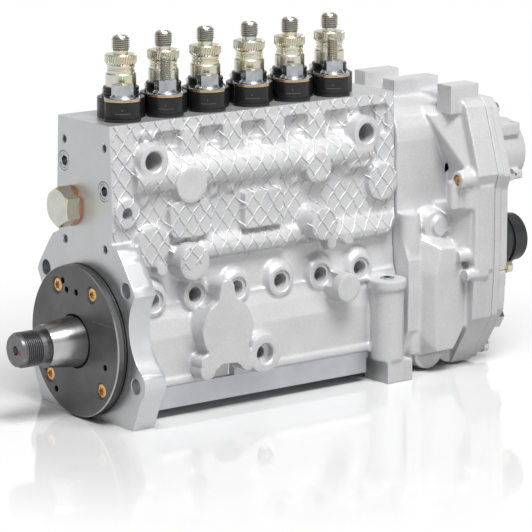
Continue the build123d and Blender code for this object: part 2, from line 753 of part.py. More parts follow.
act_y = -23.0
act_z = 95.0
act_r = 23.0
act_x1 = cover_x1 + 30.0
armature_r = 12.0
armature_x0 = gov_x1 - 8.0
with BuildPart() as rack_yoke:
    block(rack_x1, rack_x1 + 8, act_y - 4.5, rack_y + 8, rack_z - 8, act_z + 8)

with BuildPart() as armature:
    rod_x(rack_x1 + 8, armature_x0, act_y, act_z, 4.0)
    rod_x(armature_x0, armature_x0 + 36, act_y, act_z, armature_r)
save(Compound(children=[rack_yoke.part, armature.part]), "rack_yoke_and_armature")

# Governor housing: plain neck, flared body and flange, hollow inside
neck = [
    (-33, 124), (-28, 130), (28, 130), (33, 124), (33, 64), (44, 58),
    (52, 20), (52, -20), (36, -47), (-36, -47), (-52, -20), (-52, 20),
    (-44, 58), (-33, 64),
]
rim = [
    (-53, 134), (-46, 141), (46, 141), (53, 134), (68, 88), (64.5, 78),
    (64.5, 20), (62, -15), (40, -50), (-40, -50), (-62, -15), (-64.5, 20),
    (-64.5, 78), (-68, 88),
]


def shrunk(points, wall):
    out = []
    for y, z in points:
        ky = (abs(y) - wall) / abs(y)
        kz = (abs(z - 42.0) - wall) / max(abs(z - 42.0), wall)
        out.append((y * ky, 42.0 + (z - 42.0) * kz))
    return out


def flare(first, second, x0, x1, mode=Mode.ADD):
    with BuildSketch(Plane.YZ.offset(x0)) as near:
        with BuildLine():
            Polyline(*first, close=True)
        make_face()
    with BuildSketch(Plane.YZ.offset(x1)) as far:
        with BuildLine():
            Polyline(*second, close=True)
        make_face()
    loft([near.sketch, far.sketch], ruled=True, mode=mode)


flare_x0 = block_x1 + 27.0
flare_x1 = gov_x1 - 12.0
cover_bolts = [
    (-41.5, 129.0), (41.5, 129.0), (-59.0, 84.0), (59.0, 84.0), (-58.5, 18.3),
    (58.5, 18.3), (-34.0, -43.5), (34.0, -43.5),
]
with BuildPart() as governor_housing:
    slab_x(neck, block_x1, flare_x0)
    flare(neck, rim, flare_x0, flare_x1)
    slab_x(rim, flare_x1, gov_x1)
    # Lifting and fixing lugs along the top
    block(276, gov_x1 - 2, -48, -34, 126, 150)
    block(259, gov_x1 - 3, -4, 9, 126, 150)
    block(272, gov_x1 - 3, 40, 52, 126, 150)
    # Faceted bulge, round boss and bolt lug on the visible side
    with BuildSketch(Plane.XZ.offset(44)):
        with BuildLine():
            Polyline(
                (245.5, 18.5), (251, 44.6), (268, 44), (282, 15), (282.5, -18),
                (273, -35), (251, -37), (245, -16), close=True,
            )
        make_face()
    extrude(amount=11, taper=18)
    rod_y(-44.0, -36, 268, 51, 10.0)
    rod_y(-46.0, -44, 268, 51, 6.8)
    rod_z(18, 63, block_x1 + 11, -34, 10.5)
    rod_z(64, 82, 279, -52, 8.5)
    block(276, 292, -60, -48, 13, 33)
    rod_y(-42, 42, 262, -38, 13.0)
    rod_y(-38, 38, 286, -36.5, 14.0)
    # Hollow inside
    slab_x(shrunk(neck, gov_wall), block_x1 + 6.0, flare_x0, mode=Mode.SUBTRACT)
    flare(shrunk(neck, gov_wall), shrunk(rim, gov_wall + 6), flare_x0, gov_x1,
          mode=Mode.SUBTRACT)
    rod_x(block_x1, block_x1 + 6, 0, 0, 20.0, mode=Mode.SUBTRACT)
    rod_x(block_x1, block_x1 + 6, rack_y, rack_z, rack_r + 1.5, mode=Mode.SUBTRACT)
    rods_x(block_x1, block_x1 + 6, joint_screws, 3.0, mode=Mode.SUBTRACT)
    rods_x(gov_x1 - 11, gov_x1, cover_bolts, 2.5, mode=Mode.SUBTRACT)
save(governor_housing.part, "governor_housing")

act_screws = [(7.0, 95.0), (-35.0, 67.0), (-33.0, 122.0)]
with BuildPart() as case_screws:
    rods_x(block_x1 + 6, block_x1 + 11, joint_screws, 5.0)
    rods_x(block_x1 - 14, block_x1 + 6, joint_screws, 3.0)
    rods_z(tray_floor + 0.2, tray_floor + 4, tray_screws, 3.6)
    rods_z(tray_floor + 4, cambox_base + 10, tray_screws, 2.5)
    rods_x(cover_x1 - 4, cover_x1 + 8, act_screws, 2.5)
    rods_x(cover_x1 + 8, cover_x1 + 12, act_screws, 4.4)
save(case_screws.part, "case_screws")

# Gasket and governor cover
gasket_t = 0.8
with BuildPart() as cover_gasket:
    slab_x(shrunk(rim, 0.4), gov_x1, gov_x1 + gasket_t)
    slab_x(shrunk(rim, gov_wall + 6), gov_x1, gov_x1 + gasket_t, mode=Mode.SUBTRACT)
    rods_x(gov_x1, gov_x1 + gasket_t, cover_bolts, 2.5, mode=Mode.SUBTRACT)
save(cover_gasket.part, "governor_cover_gasket")

conn_y = -41.0
conn_z = 35.0
fit_y = -40.5
fit_z = -20.0
sensor_z = 24.0
with BuildPart() as governor_cover:
    slab_x(shrunk(rim, 0.8), gov_x1 + gasket_t, gov_x1 + 7)
    slab_x(shrunk(rim, 3.0), gov_x1 + 7, cover_x1)
    rod_x(gov_x1 + gasket_t, cover_x1 - 4, act_y, act_z, armature_r + 2, mode=Mode.SUBTRACT)
    slab_x(shrunk(rim, gov_wall + 10), gov_x1 + gasket_t, cover_x1 - 4, mode=Mode.SUBTRACT)
    rod_x(cover_x1 - 4, cover_x1, act_y, act_z, armature_r + 2, mode=Mode.SUBTRACT)
    rod_x(cover_x1 - 4, cover_x1, conn_y, conn_z, 12.0, mode=Mode.SUBTRACT)
    rod_x(cover_x1 - 4, cover_x1, fit_y, fit_z, 5.0, mode=Mode.SUBTRACT)
    rod_x(cover_x1 - 4, cover_x1, 0, sensor_z, 7.0, mode=Mode.SUBTRACT)
    rods_x(gov_x1 + gasket_t, cover_x1, cover_bolts, 2.5, mode=Mode.SUBTRACT)
    rods_x(cover_x1 - 4, cover_x1, act_screws, 2.5, mode=Mode.SUBTRACT)
save(governor_cover.part, "governor_cover")

with BuildPart() as bolts:
    rods_x(gov_x1 - 11, cover_x1, cover_bolts, 2.5)
    rods_x(cover_x1, cover_x1 + 4.5, cover_bolts, 4.4)
    with BuildSketch(Plane.YZ.offset(cover_x1 + 2)):
        with Locations(*cover_bolts):
            RegularPolygon(2.4, 6)
    extrude(amount=2.5, mode=Mode.SUBTRACT)
save(bolts.part, "governor_cover_bolts")

# Solenoid actuator on the cover
with BuildPart() as actuator:
    rod_x(cover_x1, act_x1, act_y, act_z, act_r)
    rods_x(cover_x1, cover_x1 + 8, act_screws, 6.5)
    for y, z in act_screws:
        block(cover_x1, cover_x1 + 8, min(y, act_y), max(y, act_y) + 1, min(z, act_z),
              max(z, act_z) + 1)
    rod_x(cover_x1, act_x1 - 3, act_y, act_z, act_r - 3, mode=Mode.SUBTRACT)
    rods_x(cover_x1, cover_x1 + 8, act_screws, 2.5, mode=Mode.SUBTRACT)
save(actuator.part, "actuator_housing")

with BuildPart() as coil:
    rod_x(cover_x1, act_x1 - 3, act_y, act_z, act_r - 3)
    rod_x(cover_x1, act_x1 - 3, act_y, act_z, armature_r + 1, mode=Mode.SUBTRACT)
save(coil.part, "solenoid_coil")

# Electrical connector with its contact pins, and the speed sensor
with BuildPart() as connector:
    rod_x(cover_x1, cover_x1 + 6, conn_y, conn_z, 19.4)
    rod_x(cover_x1 + 6, cover_x1 + 9, conn_y, conn_z, 18.0)
    rod_x(cover_x1 + 9, cover_x1 + 12, conn_y, conn_z, 19.5)
    rod_x(cover_x1 + 12, cover_x1 + 22, conn_y, conn_z, 17.0)
    rod_x(cover_x1 - 4, cover_x1, conn_y, conn_z, 12.0)
    rod_x(cover_x1 + 8, cover_x1 + 22, conn_y, conn_z, 14.5, mode=Mode.SUBTRACT)
save(connector.part, "connector_body")

with BuildPart() as pins:
    pin_deg = [radians(360.0 / 7 * k) for k in range(7)]
    rods_x(cover_x1 + 8, cover_x1 + 17,
           [(conn_y + 8 * cos(a), conn_z + 8 * sin(a)) for a in pin_deg], 1.1)
save(pins.part, "connector_pins")

with BuildPart() as sensor:
    rod_x(wheel_x1 + 0.9, cover_x1, 0, sensor_z, 7.0)
    rod_x(cover_x1, cover_x1 + 5, 0, sensor_z, 9.5)
save(sensor.part, "speed_sensor")

with BuildPart() as fitting:
    rod_x(cover_x1 - 4, cover_x1, fit_y, fit_z, 5.0)
    hex_x(cover_x1, cover_x1 + 8, fit_y, fit_z, 17.0)
    rod_x(cover_x1 - 4, cover_x1 + 6, fit_y, fit_z, 2.5, mode=Mode.SUBTRACT)
save(fitting.part, "oil_return_plug")
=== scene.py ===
"""Looks of a six element in line diesel injection pump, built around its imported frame."""

import json
import logging
import math
from dataclasses import dataclass
from enum import Enum

import bmesh
import bpy
from mathutils import Matrix, Vector
from mathutils.bvhtree import BVHTree


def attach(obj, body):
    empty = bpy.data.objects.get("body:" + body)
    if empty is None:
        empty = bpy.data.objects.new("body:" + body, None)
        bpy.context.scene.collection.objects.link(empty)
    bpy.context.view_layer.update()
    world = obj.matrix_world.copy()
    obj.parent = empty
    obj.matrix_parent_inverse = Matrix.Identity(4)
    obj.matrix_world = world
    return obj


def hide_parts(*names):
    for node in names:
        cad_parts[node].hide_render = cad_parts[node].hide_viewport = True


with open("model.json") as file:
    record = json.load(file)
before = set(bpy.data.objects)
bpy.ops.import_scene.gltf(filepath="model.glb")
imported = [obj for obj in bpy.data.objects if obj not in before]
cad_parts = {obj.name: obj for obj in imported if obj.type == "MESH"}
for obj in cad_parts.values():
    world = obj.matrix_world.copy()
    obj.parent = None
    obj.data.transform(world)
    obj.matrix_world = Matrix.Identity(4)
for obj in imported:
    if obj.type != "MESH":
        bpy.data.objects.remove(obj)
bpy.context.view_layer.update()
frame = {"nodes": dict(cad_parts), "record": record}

log = logging.getLogger("injection_pump")

MM = 0.001

# Places that several pieces share: millimetres on the two axes across the piece's own,
# except the angle of the studs and the numbers of the elements with the long ones
CYLINDER_X = (30.2, 64.7, 99.2, 136.1, 170.6, 205.1)
DECK_Z = 147.6
STUD_REACH = 20.4
STUD_DEG = 58.0
LONG_STUDS = (1, 5)
TAPPET_HOLE_Z = 28
COVER_SCREWS = ((-30.5, -28.3), (30.5, -28.3), (-20.4, 34.7), (20.4, 34.7))
FLANGE_HOLES = ((-47, 41), (47, 41), (-57.7, -21.3), (57.7, -21.3))
FACE_HOLES = ((-23.4, 132.3), (23.4, 132.3), (-23.4, 64.6), (23.4, 64.6))
CASE_SCREWS = ((-20, 66), (20, 66), (-20, 118), (20, 118))
STRIP_SCREWS = tuple((x, y) for x in (30, 90, 150, 202) for y in (-36.3, 36.3))
REAR_FEET = ((220.8, -46.0), (220.8, 46.0))
GALLERIES = ((-22.9, 103.5), (23.6, 117.6))
FUEL_PORTS = ((30.2, 122.0), (208.8, 122.3))
LOW_PORT = (112.6, -16.9)
FRONT_PORT = (11.0, 88.8)
RACK_AXIS = (15, 88.5)
ARMATURE_AXIS = (-23, 95)


class Slot(Enum):
    """The record's material slots."""

    CAST = "cast_aluminium"
    MACHINED = "machined_steel"
    HARDENED = "hardened_steel"
    PHOSPHATED = "phosphated_steel"
    BLACK = "black_steel"
    ZINC = "zinc_steel"
    BRIGHT_ZINC = "bright_zinc"
    PLATE = "bottom_plate"
    COPPER = "copper"
    BRASS = "brass"
    RUBBER = "rubber"
    PLASTIC = "black_plastic"
    GASKET = "gasket"


class Way(Enum):
    """The ways to combine a piece with a shape."""

    JOIN = "UNION"
    CUT = "DIFFERENCE"
    CROSS = "INTERSECT"


class Axis(Enum):
    """The three directions that turned pieces follow."""

    X = 0
    Y = 1
    Z = 2

    @property
    def following(self) -> "Axis":
        """The direction that comes next in turn."""
        return Axis((self.value + 1) % 3)


class Shape:
    """A solid put together from bmesh primitives, in millimetres."""

    def __init__(self) -> None:
        """Starts with nothing in it."""
        self.bm = bmesh.new()

    def _soften(self, edges: list[bmesh.types.BMEdge], bevel: float) -> None:
        """Rounds some edges."""
        if bevel > 0 and edges:
            bmesh.ops.bevel(
                self.bm, geom=edges, offset=bevel, offset_type="OFFSET", segments=2,
                profile=0.5, affect="EDGES", material=-1, clamp_overlap=True,
            )

    def rod(
        self,
        axis: Axis,
        start: float,
        end: float,
        at: tuple[float, float],
        radius: float,
        end_radius: float | None = None,
        sides: int = 48,
        bevel: float = 0.0,
    ) -> "Shape":
        """Adds a cylinder or cone.

        Args:
            axis: The direction that it runs in.
            start: Where it starts along the axis.
            end: Where it ends along the axis.
            at: Its place on the other two axes, in their order.
            radius: The radius at the start.
            end_radius: The radius at the end, if it differs.
            sides: How many sides stand for the circle.
            bevel: The rounding of both rims.

        Returns:
            The shape itself.
        """
        made = bmesh.ops.create_cone(
            self.bm, cap_ends=True, segments=sides, radius1=radius,
            radius2=radius if end_radius is None else end_radius, depth=end - start,
            matrix=axis_matrix(axis, (start + end) / 2, at),
        )
        rims = {
            e for v in made["verts"] for e in v.link_edges
            if any(len(f.verts) == sides for f in e.link_faces)
        }
        self._soften(list(rims), bevel)
        return self

    def box(
        self, low: tuple[float, float, float], high: tuple[float, float, float]
    ) -> "Shape":
        """Adds a block between two corners.

        Args:
            low: The lowest corner.
            high: The highest corner.

        Returns:
            The shape itself.
        """
        size = [b - a for a, b in zip(low, high)]
        middle = [(a + b) / 2 for a, b in zip(low, high)]
        matrix = Matrix.Translation(middle) @ Matrix.Diagonal((*size, 1.0))
        bmesh.ops.create_cube(self.bm, size=1.0, matrix=matrix)
        return self

    def prism(
        self,
        axis: Axis,
        points: list[tuple[float, float]],
        start: float,
        end: float,
        bevel: float = 0.0,
    ) -> "Shape":
        """Adds a straight slab with a drawn outline.

        Args:
            axis: The direction that it is drawn out in.
            points: The outline on the other two axes, in their order.
            start: Where it starts along the axis.
            end: Where it ends along the axis.
            bevel: The rounding of both outlines.

        Returns:
            The shape itself.
        """
        verts = [self.bm.verts.new(on_axes(axis, start, p)) for p in points]
        face = self.bm.faces.new(verts)
        drawn = bmesh.ops.extrude_face_region(self.bm, geom=[face], use_keep_orig=True)
        moved = [g for g in drawn["geom"] if isinstance(g, bmesh.types.BMVert)]
        step = Vector(on_axes(axis, end - start, (0.0, 0.0)))
        bmesh.ops.translate(self.bm, verts=moved, vec=step)
        caps = [face] + [g for g in drawn["geom"] if isinstance(g, bmesh.types.BMFace)]
        whole = {f for v in verts + moved for f in v.link_faces}
        bmesh.ops.recalc_face_normals(self.bm, faces=list(whole))
        self._soften([e for c in caps for e in c.edges], bevel)
        return self

    def turned(
        self,
        axis: Axis,
        profile: list[tuple[float, float]],
        at: tuple[float, float],
        steps: int = 48,
    ) -> "Shape":
        """Adds a solid of revolution.

        Args:
            axis: The direction of its axis.
            profile: Points as (radius, place along the axis), from the axis back to it, or a
                closed ring that stays clear of it.
            at: The axis's place on the other two axes, in their order.
            steps: How many steps stand for the full turn.

        Returns:
            The shape itself.
        """
        ring = profile[0][0] > 1e-6
        verts = []
        for radius, along in profile:
            spot = [0.0, 0.0, 0.0]
            spot[axis.value] = along
            spot[axis.following.value] = radius
            verts.append(self.bm.verts.new(spot))
        edges = [self.bm.edges.new(pair) for pair in zip(verts, verts[1:])]
        if ring:
            edges.append(self.bm.edges.new((verts[-1], verts[0])))
        before = set(self.bm.verts)
        bmesh.ops.spin(
            self.bm, geom=verts + edges, cent=(0, 0, 0), axis=on_axes(axis, 1.0, (0.0, 0.0)),
            dvec=(0, 0, 0), angle=math.tau, steps=steps, use_merge=True, use_duplicate=False,
        )
        fresh = [v for v in self.bm.verts if v not in before or v in verts]
        bmesh.ops.remove_doubles(self.bm, verts=fresh, dist=1e-5)
        fresh = [v for v in fresh if v.is_valid]
        bmesh.ops.recalc_face_normals(
            self.bm, faces=list({f for v in fresh for f in v.link_faces})
        )
        bmesh.ops.translate(self.bm, verts=fresh, vec=on_axes(axis, 0.0, at))
        return self

    def thread(
        self,
        axis: Axis,
        start: float,
        end: float,
        at: tuple[float, float],
        root: float,
        crest: float,
        pitch: float,
        steps: int = 40,
    ) -> "Shape":
        """Adds the flanks of a thread, which lie on a core of the root radius.

        Args:
            axis: The direction of the thread's axis.
            start: Where the thread starts along the axis.
            end: Where it ends along the axis.
            at: The axis's place on the other two axes, in their order.
            root: The radius at the root.
            crest: The radius at the crest.
            pitch: The pitch.
            steps: How many steps stand for one turn.

        Returns:
            The shape itself.
        """
        turns = int((end - start) / pitch) - 1
        verts = []
        for radius, share in ((root - 0.1, 0.1), (crest, 0.4), (crest, 0.54), (root - 0.1, 0.84)):
            spot = [0.0, 0.0, 0.0]
            spot[axis.value] = start + share * pitch
            spot[axis.following.value] = radius
            verts.append(self.bm.verts.new(spot))
        edges = [self.bm.edges.new(pair) for pair in zip(verts, verts[1:])]
        before = set(self.bm.verts)
        bmesh.ops.spin(
            self.bm, geom=verts + edges, cent=(0, 0, 0), axis=on_axes(axis, 1.0, (0.0, 0.0)),
            dvec=on_axes(axis, pitch / steps, (0.0, 0.0)), angle=math.tau * turns,
            steps=steps * turns, use_merge=False, use_duplicate=False,
        )
        fresh = [v for v in self.bm.verts if v not in before or v in verts]
        bmesh.ops.translate(self.bm, verts=fresh, vec=on_axes(axis, 0.0, at))
        return self

    def lofted(
        self,
        axis: Axis,
        at: tuple[float, float],
        levels: list[list[tuple[float, float, float]]],
    ) -> "Shape":
        """Adds a skin through closed rings, with flat ends.

        Args:
            axis: The direction that the rings follow each other in.
            at: The middle's place on the other two axes, in their order.
            levels: For each ring its points as (angle, radius, place along the axis).

        Returns:
            The shape itself.
        """
        rows = [
            [
                self.bm.verts.new(
                    on_axes(axis, z, (at[0] + r * math.cos(a), at[1] + r * math.sin(a)))
                )
                for a, r, z in level
            ]
            for level in levels
        ]
        count = len(rows[0])
        faces = [self.bm.faces.new(list(reversed(rows[0]))), self.bm.faces.new(rows[-1])]
        for low, high in zip(rows, rows[1:]):
            for k in range(count):
                n = (k + 1) % count
                faces.append(self.bm.faces.new((low[k], low[n], high[n], high[k])))
        bmesh.ops.recalc_face_normals(self.bm, faces=faces)
        return self

    def hexagon(
        self,
        axis: Axis,
        start: float,
        end: float,
        at: tuple[float, float],
        flats: float,
        turn: float = 0.0,
        cap: float | None = None,
    ) -> "Shape":
        """Adds a hexagon whose corners are turned off at its end, as on a nut.

        Args:
            axis: The direction of its axis.
            start: Where it starts along the axis.
            end: Where it ends, on the side that is turned off.
            at: Its place on the other two axes, in their order.
            flats: The width across flats.
            turn: The angle of one corner in degrees.
            cap: The radius that the corners are turned off to, if they are.

        Returns:
            The shape itself.
        """
        side, steps = math.copysign(1.0, end - start), 72
        low, high, top = [], [], []
        for k in range(steps):
            angle = math.tau * k / steps
            from_flat = (math.degrees(angle) - turn) % 60.0 - 30.0
            reach = flats / 2 / math.cos(math.radians(from_flat))
            kept = reach if cap is None else min(reach, cap)
            low.append((angle, reach, start))
            high.append((angle, reach, end - side * (reach - kept) * 0.6 - side * 0.01))
            top.append((angle, kept, end))
        return self.lofted(axis, at, [low, high, top])

    def hull(self, points: list[tuple[float, float, float]]) -> "Shape":
        """Adds the tightest solid around some points.

        Args:
            points: The points.

        Returns:
            The shape itself.
        """
        verts = [self.bm.verts.new(p) for p in points]
        made = bmesh.ops.convex_hull(self.bm, input=verts, use_existing_faces=False)
        spare = [g for g in made["geom_interior"] if isinstance(g, bmesh.types.BMVert)]
        bmesh.ops.delete(self.bm, geom=spare, context="VERTS")
        return self

    def mark(self, index: int) -> "Shape":
        """Gives every face added since the last mark one material index.

        Args:
            index: The material index.

        Returns:
            The shape itself.
        """
        layer = self.bm.faces.layers.int.get("marked") or self.bm.faces.layers.int.new("marked")
        for face in self.bm.faces:
            if not face[layer]:
                face[layer] = 1
                face.material_index = index
        return self

    def repeat(self, steps: list[tuple[float, float, float]]) -> "Shape":
        """Repeats the whole shape at some distances from where it is.

        Args:
            steps: The distances.

        Returns:
            The shape itself.
        """
        source = self.bm.verts[:] + self.bm.edges[:] + self.bm.faces[:]
        first = [g for g in source if isinstance(g, bmesh.types.BMVert)]
        for step in steps[1:]:
            made = bmesh.ops.duplicate(self.bm, geom=source)
            moved = [g for g in made["geom"] if isinstance(g, bmesh.types.BMVert)]
            bmesh.ops.translate(self.bm, verts=moved, vec=step)
        bmesh.ops.translate(self.bm, verts=first, vec=steps[0])
        return self

    def piece(self, name: str) -> bpy.types.Object:
        """Makes a mesh object of the shape, in metres.

        Args:
            name: The object's name.

        Returns:
            The object, linked to the scene.
        """
        bmesh.ops.scale(self.bm, vec=(MM, MM, MM), verts=self.bm.verts)
        mesh = bpy.data.meshes.new(name)
        self.bm.to_mesh(mesh)
        self.bm.free()
        return linked(name, mesh)


def linked(name: str, data: bpy.types.ID) -> bpy.types.Object:
    """Makes an object of some data and links it to the scene."""
    made = bpy.data.objects.new(name, data)
    bpy.context.scene.collection.objects.link(made)
    return made


def on_axes(axis: Axis, along: float, at: tuple[float, float]) -> tuple[float, float, float]:
    """Places a point by its height on one axis and its place on the other two."""
    spot = list(at)
    spot.insert(axis.value, along)
    return tuple(spot)


def axis_matrix(axis: Axis, along: float, at: tuple[float, float]) -> Matrix:
    """Turns the Z direction onto an axis and moves it into place.

    Args:
        axis: The wanted direction.
        along: The place along it.
        at: The place on the other two axes, in their order.

    Returns:
        The matrix.
    """
    turn = {
        Axis.X: Matrix.Rotation(math.pi / 2, 4, "Y"),
        Axis.Y: Matrix.Rotation(-math.pi / 2, 4, "X"),
        Axis.Z: Matrix.Identity(4),
    }[axis]
    return Matrix.Translation(on_axes(axis, along, at)) @ turn


def settle(piece: bpy.types.Object) -> None:
    """Applies a piece's modifiers to its mesh."""
    view = bpy.context.evaluated_depsgraph_get()
    baked = bpy.data.meshes.new_from_object(piece.evaluated_get(view))
    old = piece.data
    piece.modifiers.clear()
    piece.data = baked
    bpy.data.meshes.remove(old)


def combine(piece: bpy.types.Object, tool: Shape, way: Way) -> None:
    """Joins, cuts or crosses a piece with a shape.

    Args:
        piece: The piece that changes.
        tool: The shape, which is used up.
        way: How the two are combined.
    """
    helper = tool.piece("tool")
    step = piece.modifiers.new("step", "BOOLEAN")
    step.solver = "MANIFOLD"
    step.operation = way.value
    step.object = helper
    settle(piece)
    mesh = helper.data
    bpy.data.objects.remove(helper)
    bpy.data.meshes.remove(mesh)


def shade(piece: bpy.types.Object, degrees: float = 32.0) -> None:
    """Shades a piece smooth, with its edges over an angle kept sharp."""
    held = piece.data.attributes.get("custom_normal")
    if held is not None:
        piece.data.attributes.remove(held)
    piece.data.polygons.foreach_set("use_smooth", [True] * len(piece.data.polygons))
    piece.data.set_sharp_from_angle(angle=math.radians(degrees))


def place(
    piece: bpy.types.Object,
    body: str,
    slot: Slot,
    finishes: list[bpy.types.Material],
    nodes: tuple[str, ...] = (),
) -> bpy.types.Object:
    """Gives a piece its finishes, its body and the nodes that it stands for.

    Args:
        piece: The piece.
        body: The moving body that carries it.
        slot: The record's slot; not used.
        finishes: Its materials, in the order of their indices.
        nodes: The nodes that it stands for.

    Returns:
        The piece.
    """
    kept = [face.material_index for face in piece.data.polygons]
    piece.data.materials.clear()
    for finish in finishes:
        piece.data.materials.append(finish)
    piece.data.polygons.foreach_set("material_index", kept)
    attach(piece, body)
    if nodes:
        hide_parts(*nodes)
    log.info("%s: %d faces", piece.name, len(piece.data.polygons))
    return piece


def swung(points: list[tuple[float, float]], degrees: float) -> list[tuple[float, float]]:
    """Turns an outline about its origin."""
    c, s = math.cos(math.radians(degrees)), math.sin(math.radians(degrees))
    return [(x * c - y * s, x * s + y * c) for x, y in points]


def arc(
    first: tuple[float, float],
    middle: tuple[float, float],
    last: tuple[float, float],
    steps: int,
) -> list[tuple[float, float]]:
    """Points along the circle through three points.

    Args:
        first: Where the arc starts, left out of the result.
        middle: A point that it passes.
        last: Where it ends.
        steps: How many points it gets.

    Returns:
        The points, the last one included.
    """
    ax, ay, bx, by, cx, cy = *first, *middle, *last
    d = 2 * (ax * (by - cy) + bx * (cy - ay) + cx * (ay - by))
    a2, b2, c2 = ax * ax + ay * ay, bx * bx + by * by, cx * cx + cy * cy
    ux = (a2 * (by - cy) + b2 * (cy - ay) + c2 * (ay - by)) / d
    uy = (a2 * (cx - bx) + b2 * (ax - cx) + c2 * (bx - ax)) / d
    radius = math.hypot(ax - ux, ay - uy)
    angles = [math.atan2(y - uy, x - ux) for x, y in (first, middle, last)]
    sweep = (angles[2] - angles[0]) % math.tau
    if (angles[1] - angles[0]) % math.tau > sweep:
        sweep -= math.tau
    return [
        (ux + radius * math.cos(angles[0] + sweep * k / steps),
         uy + radius * math.sin(angles[0] + sweep * k / steps))
        for k in range(1, steps + 1)
    ]


def stud_offset(side: int) -> tuple[float, float]:
    """Where an element's stud stands beside its axis, on one side or the other."""
    turn = math.radians(STUD_DEG)
    return side * STUD_REACH * math.cos(turn), side * STUD_REACH * math.sin(turn)


def copy_node(node: str, name: str) -> bpy.types.Object:
    """Copies a node's solid into a new piece with its doubles merged.

    Args:
        node: The node's name.
        name: The piece's name.

    Returns:
        The new piece.
    """
    bm = bmesh.new()
    bm.from_mesh(frame["nodes"][node].data)
    bmesh.ops.remove_doubles(bm, verts=bm.verts, dist=2e-6)
    mesh = bpy.data.meshes.new(name)
    bm.to_mesh(mesh)
    bm.free()
    return linked(name, mesh)


def absorb(piece: bpy.types.Object, shape: Shape) -> None:
    """Adds a shape's shell to a piece's mesh as it is, ready to be remeshed."""
    bmesh.ops.scale(shape.bm, vec=(MM, MM, MM), verts=shape.bm.verts)
    spare = bpy.data.meshes.new("spare")
    shape.bm.to_mesh(spare)
    shape.bm.free()
    bm = bmesh.new()
    bm.from_mesh(piece.data)
    bm.from_mesh(spare)
    bm.to_mesh(piece.data)
    bm.free()
    bpy.data.meshes.remove(spare)


def cast_skin(piece: bpy.types.Object, voxel: float, rounds: int, keep: float) -> None:
    """Gives a piece the soft edges of a casting.

    Args:
        piece: The piece.
        voxel: The size of the remesh in millimetres.
        rounds: How many times its surface is relaxed.
        keep: The share of faces that stays.
    """
    remesh = piece.modifiers.new("skin", "REMESH")
    remesh.mode = "VOXEL"
    remesh.voxel_size = voxel * MM
    remesh.use_smooth_shade = True
    relax = piece.modifiers.new("relax", "SMOOTH")
    relax.factor = 0.5
    relax.iterations = rounds
    thin = piece.modifiers.new("thin", "DECIMATE")
    thin.ratio = keep
    settle(piece)


class NodeSheet:
    """A material's node tree with short ways to add and join its nodes."""

    def __init__(self, name: str) -> None:
        """Starts an empty material with a shader and an output.

        Args:
            name: The material's name.
        """
        self.material = bpy.data.materials.new(name)
        self.material.use_nodes = True
        self.tree = self.material.node_tree
        self.tree.nodes.clear()
        self.output = self.tree.nodes.new("ShaderNodeOutputMaterial")
        self.shader = self.tree.nodes.new("ShaderNodeBsdfPrincipled")
        self.join(self.shader.outputs["BSDF"], self.output.inputs["Surface"])
        self.place = self.tree.nodes.new("ShaderNodeTexCoord").outputs["Object"]

    def join(self, source: bpy.types.NodeSocket, target: bpy.types.NodeSocket) -> None:
        """Links two sockets."""
        self.tree.links.new(source, target)

    def noise(
        self, size: float, detail: float = 2.0, stretch: tuple[float, float, float] = (1, 1, 1)
    ) -> bpy.types.NodeSocket:
        """Adds a noise whose lumps are about a given size.

        Args:
            size: The size of one lump in millimetres.
            detail: How many finer layers the noise holds.
            stretch: How much longer the lumps are along each axis.

        Returns:
            The noise's factor socket.
        """
        mapping = self.tree.nodes.new("ShaderNodeMapping")
        mapping.inputs["Scale"].default_value = [1.0 / (size * MM * s) for s in stretch]
        self.join(self.place, mapping.inputs["Vector"])
        noise = self.tree.nodes.new("ShaderNodeTexNoise")
        noise.inputs["Scale"].default_value = 1.0
        noise.inputs["Detail"].default_value = detail
        noise.inputs["Roughness"].default_value = 0.55
        self.join(mapping.outputs["Vector"], noise.inputs["Vector"])
        return noise.outputs["Fac"]

    def spread(
        self, source: bpy.types.NodeSocket, low: float, high: float, a: float = 0.3, b: float = 0.7
    ) -> bpy.types.NodeSocket:
        """Maps a factor from a to b onto low to high.

        Args:
            source: The factor.
            low: The value at a.
            high: The value at b.
            a: The factor's low end.
            b: The factor's high end.

        Returns:
            The mapped value's socket.
        """
        node = self.tree.nodes.new("ShaderNodeMapRange")
        node.inputs["From Min"].default_value = a
        node.inputs["From Max"].default_value = b
        node.inputs["To Min"].default_value = low
        node.inputs["To Max"].default_value = high
        self.join(source, node.inputs["Value"])
        return node.outputs["Result"]

    def blend(
        self,
        factor: bpy.types.NodeSocket,
        first: tuple[float, float, float] | bpy.types.NodeSocket,
        second: tuple[float, float, float] | bpy.types.NodeSocket,
    ) -> bpy.types.NodeSocket:
        """Mixes two colours by a factor.

        Args:
            factor: The share of the second colour.
            first: A colour or a colour socket.
            second: A colour or a colour socket.

        Returns:
            The mixed colour's socket.
        """
        node = self.tree.nodes.new("ShaderNodeMix")
        node.data_type = "RGBA"
        self.join(factor, node.inputs["Factor"])
        for socket, value in ((node.inputs["A"], first), (node.inputs["B"], second)):
            if isinstance(value, bpy.types.NodeSocket):
                self.join(value, socket)
            else:
                socket.default_value = (*value, 1.0)
        return node.outputs["Result"]

    def bump(self, height: bpy.types.NodeSocket, depth: float) -> bpy.types.NodeSocket:
        """Adds a bump from a height.

        Args:
            height: The height's socket.
            depth: The relief of one unit of height in millimetres.

        Returns:
            The bumped normal's socket.
        """
        node = self.tree.nodes.new("ShaderNodeBump")
        node.inputs["Strength"].default_value = 1.0
        node.inputs["Distance"].default_value = depth * MM
        self.join(height, node.inputs["Height"])
        return node.outputs["Normal"]


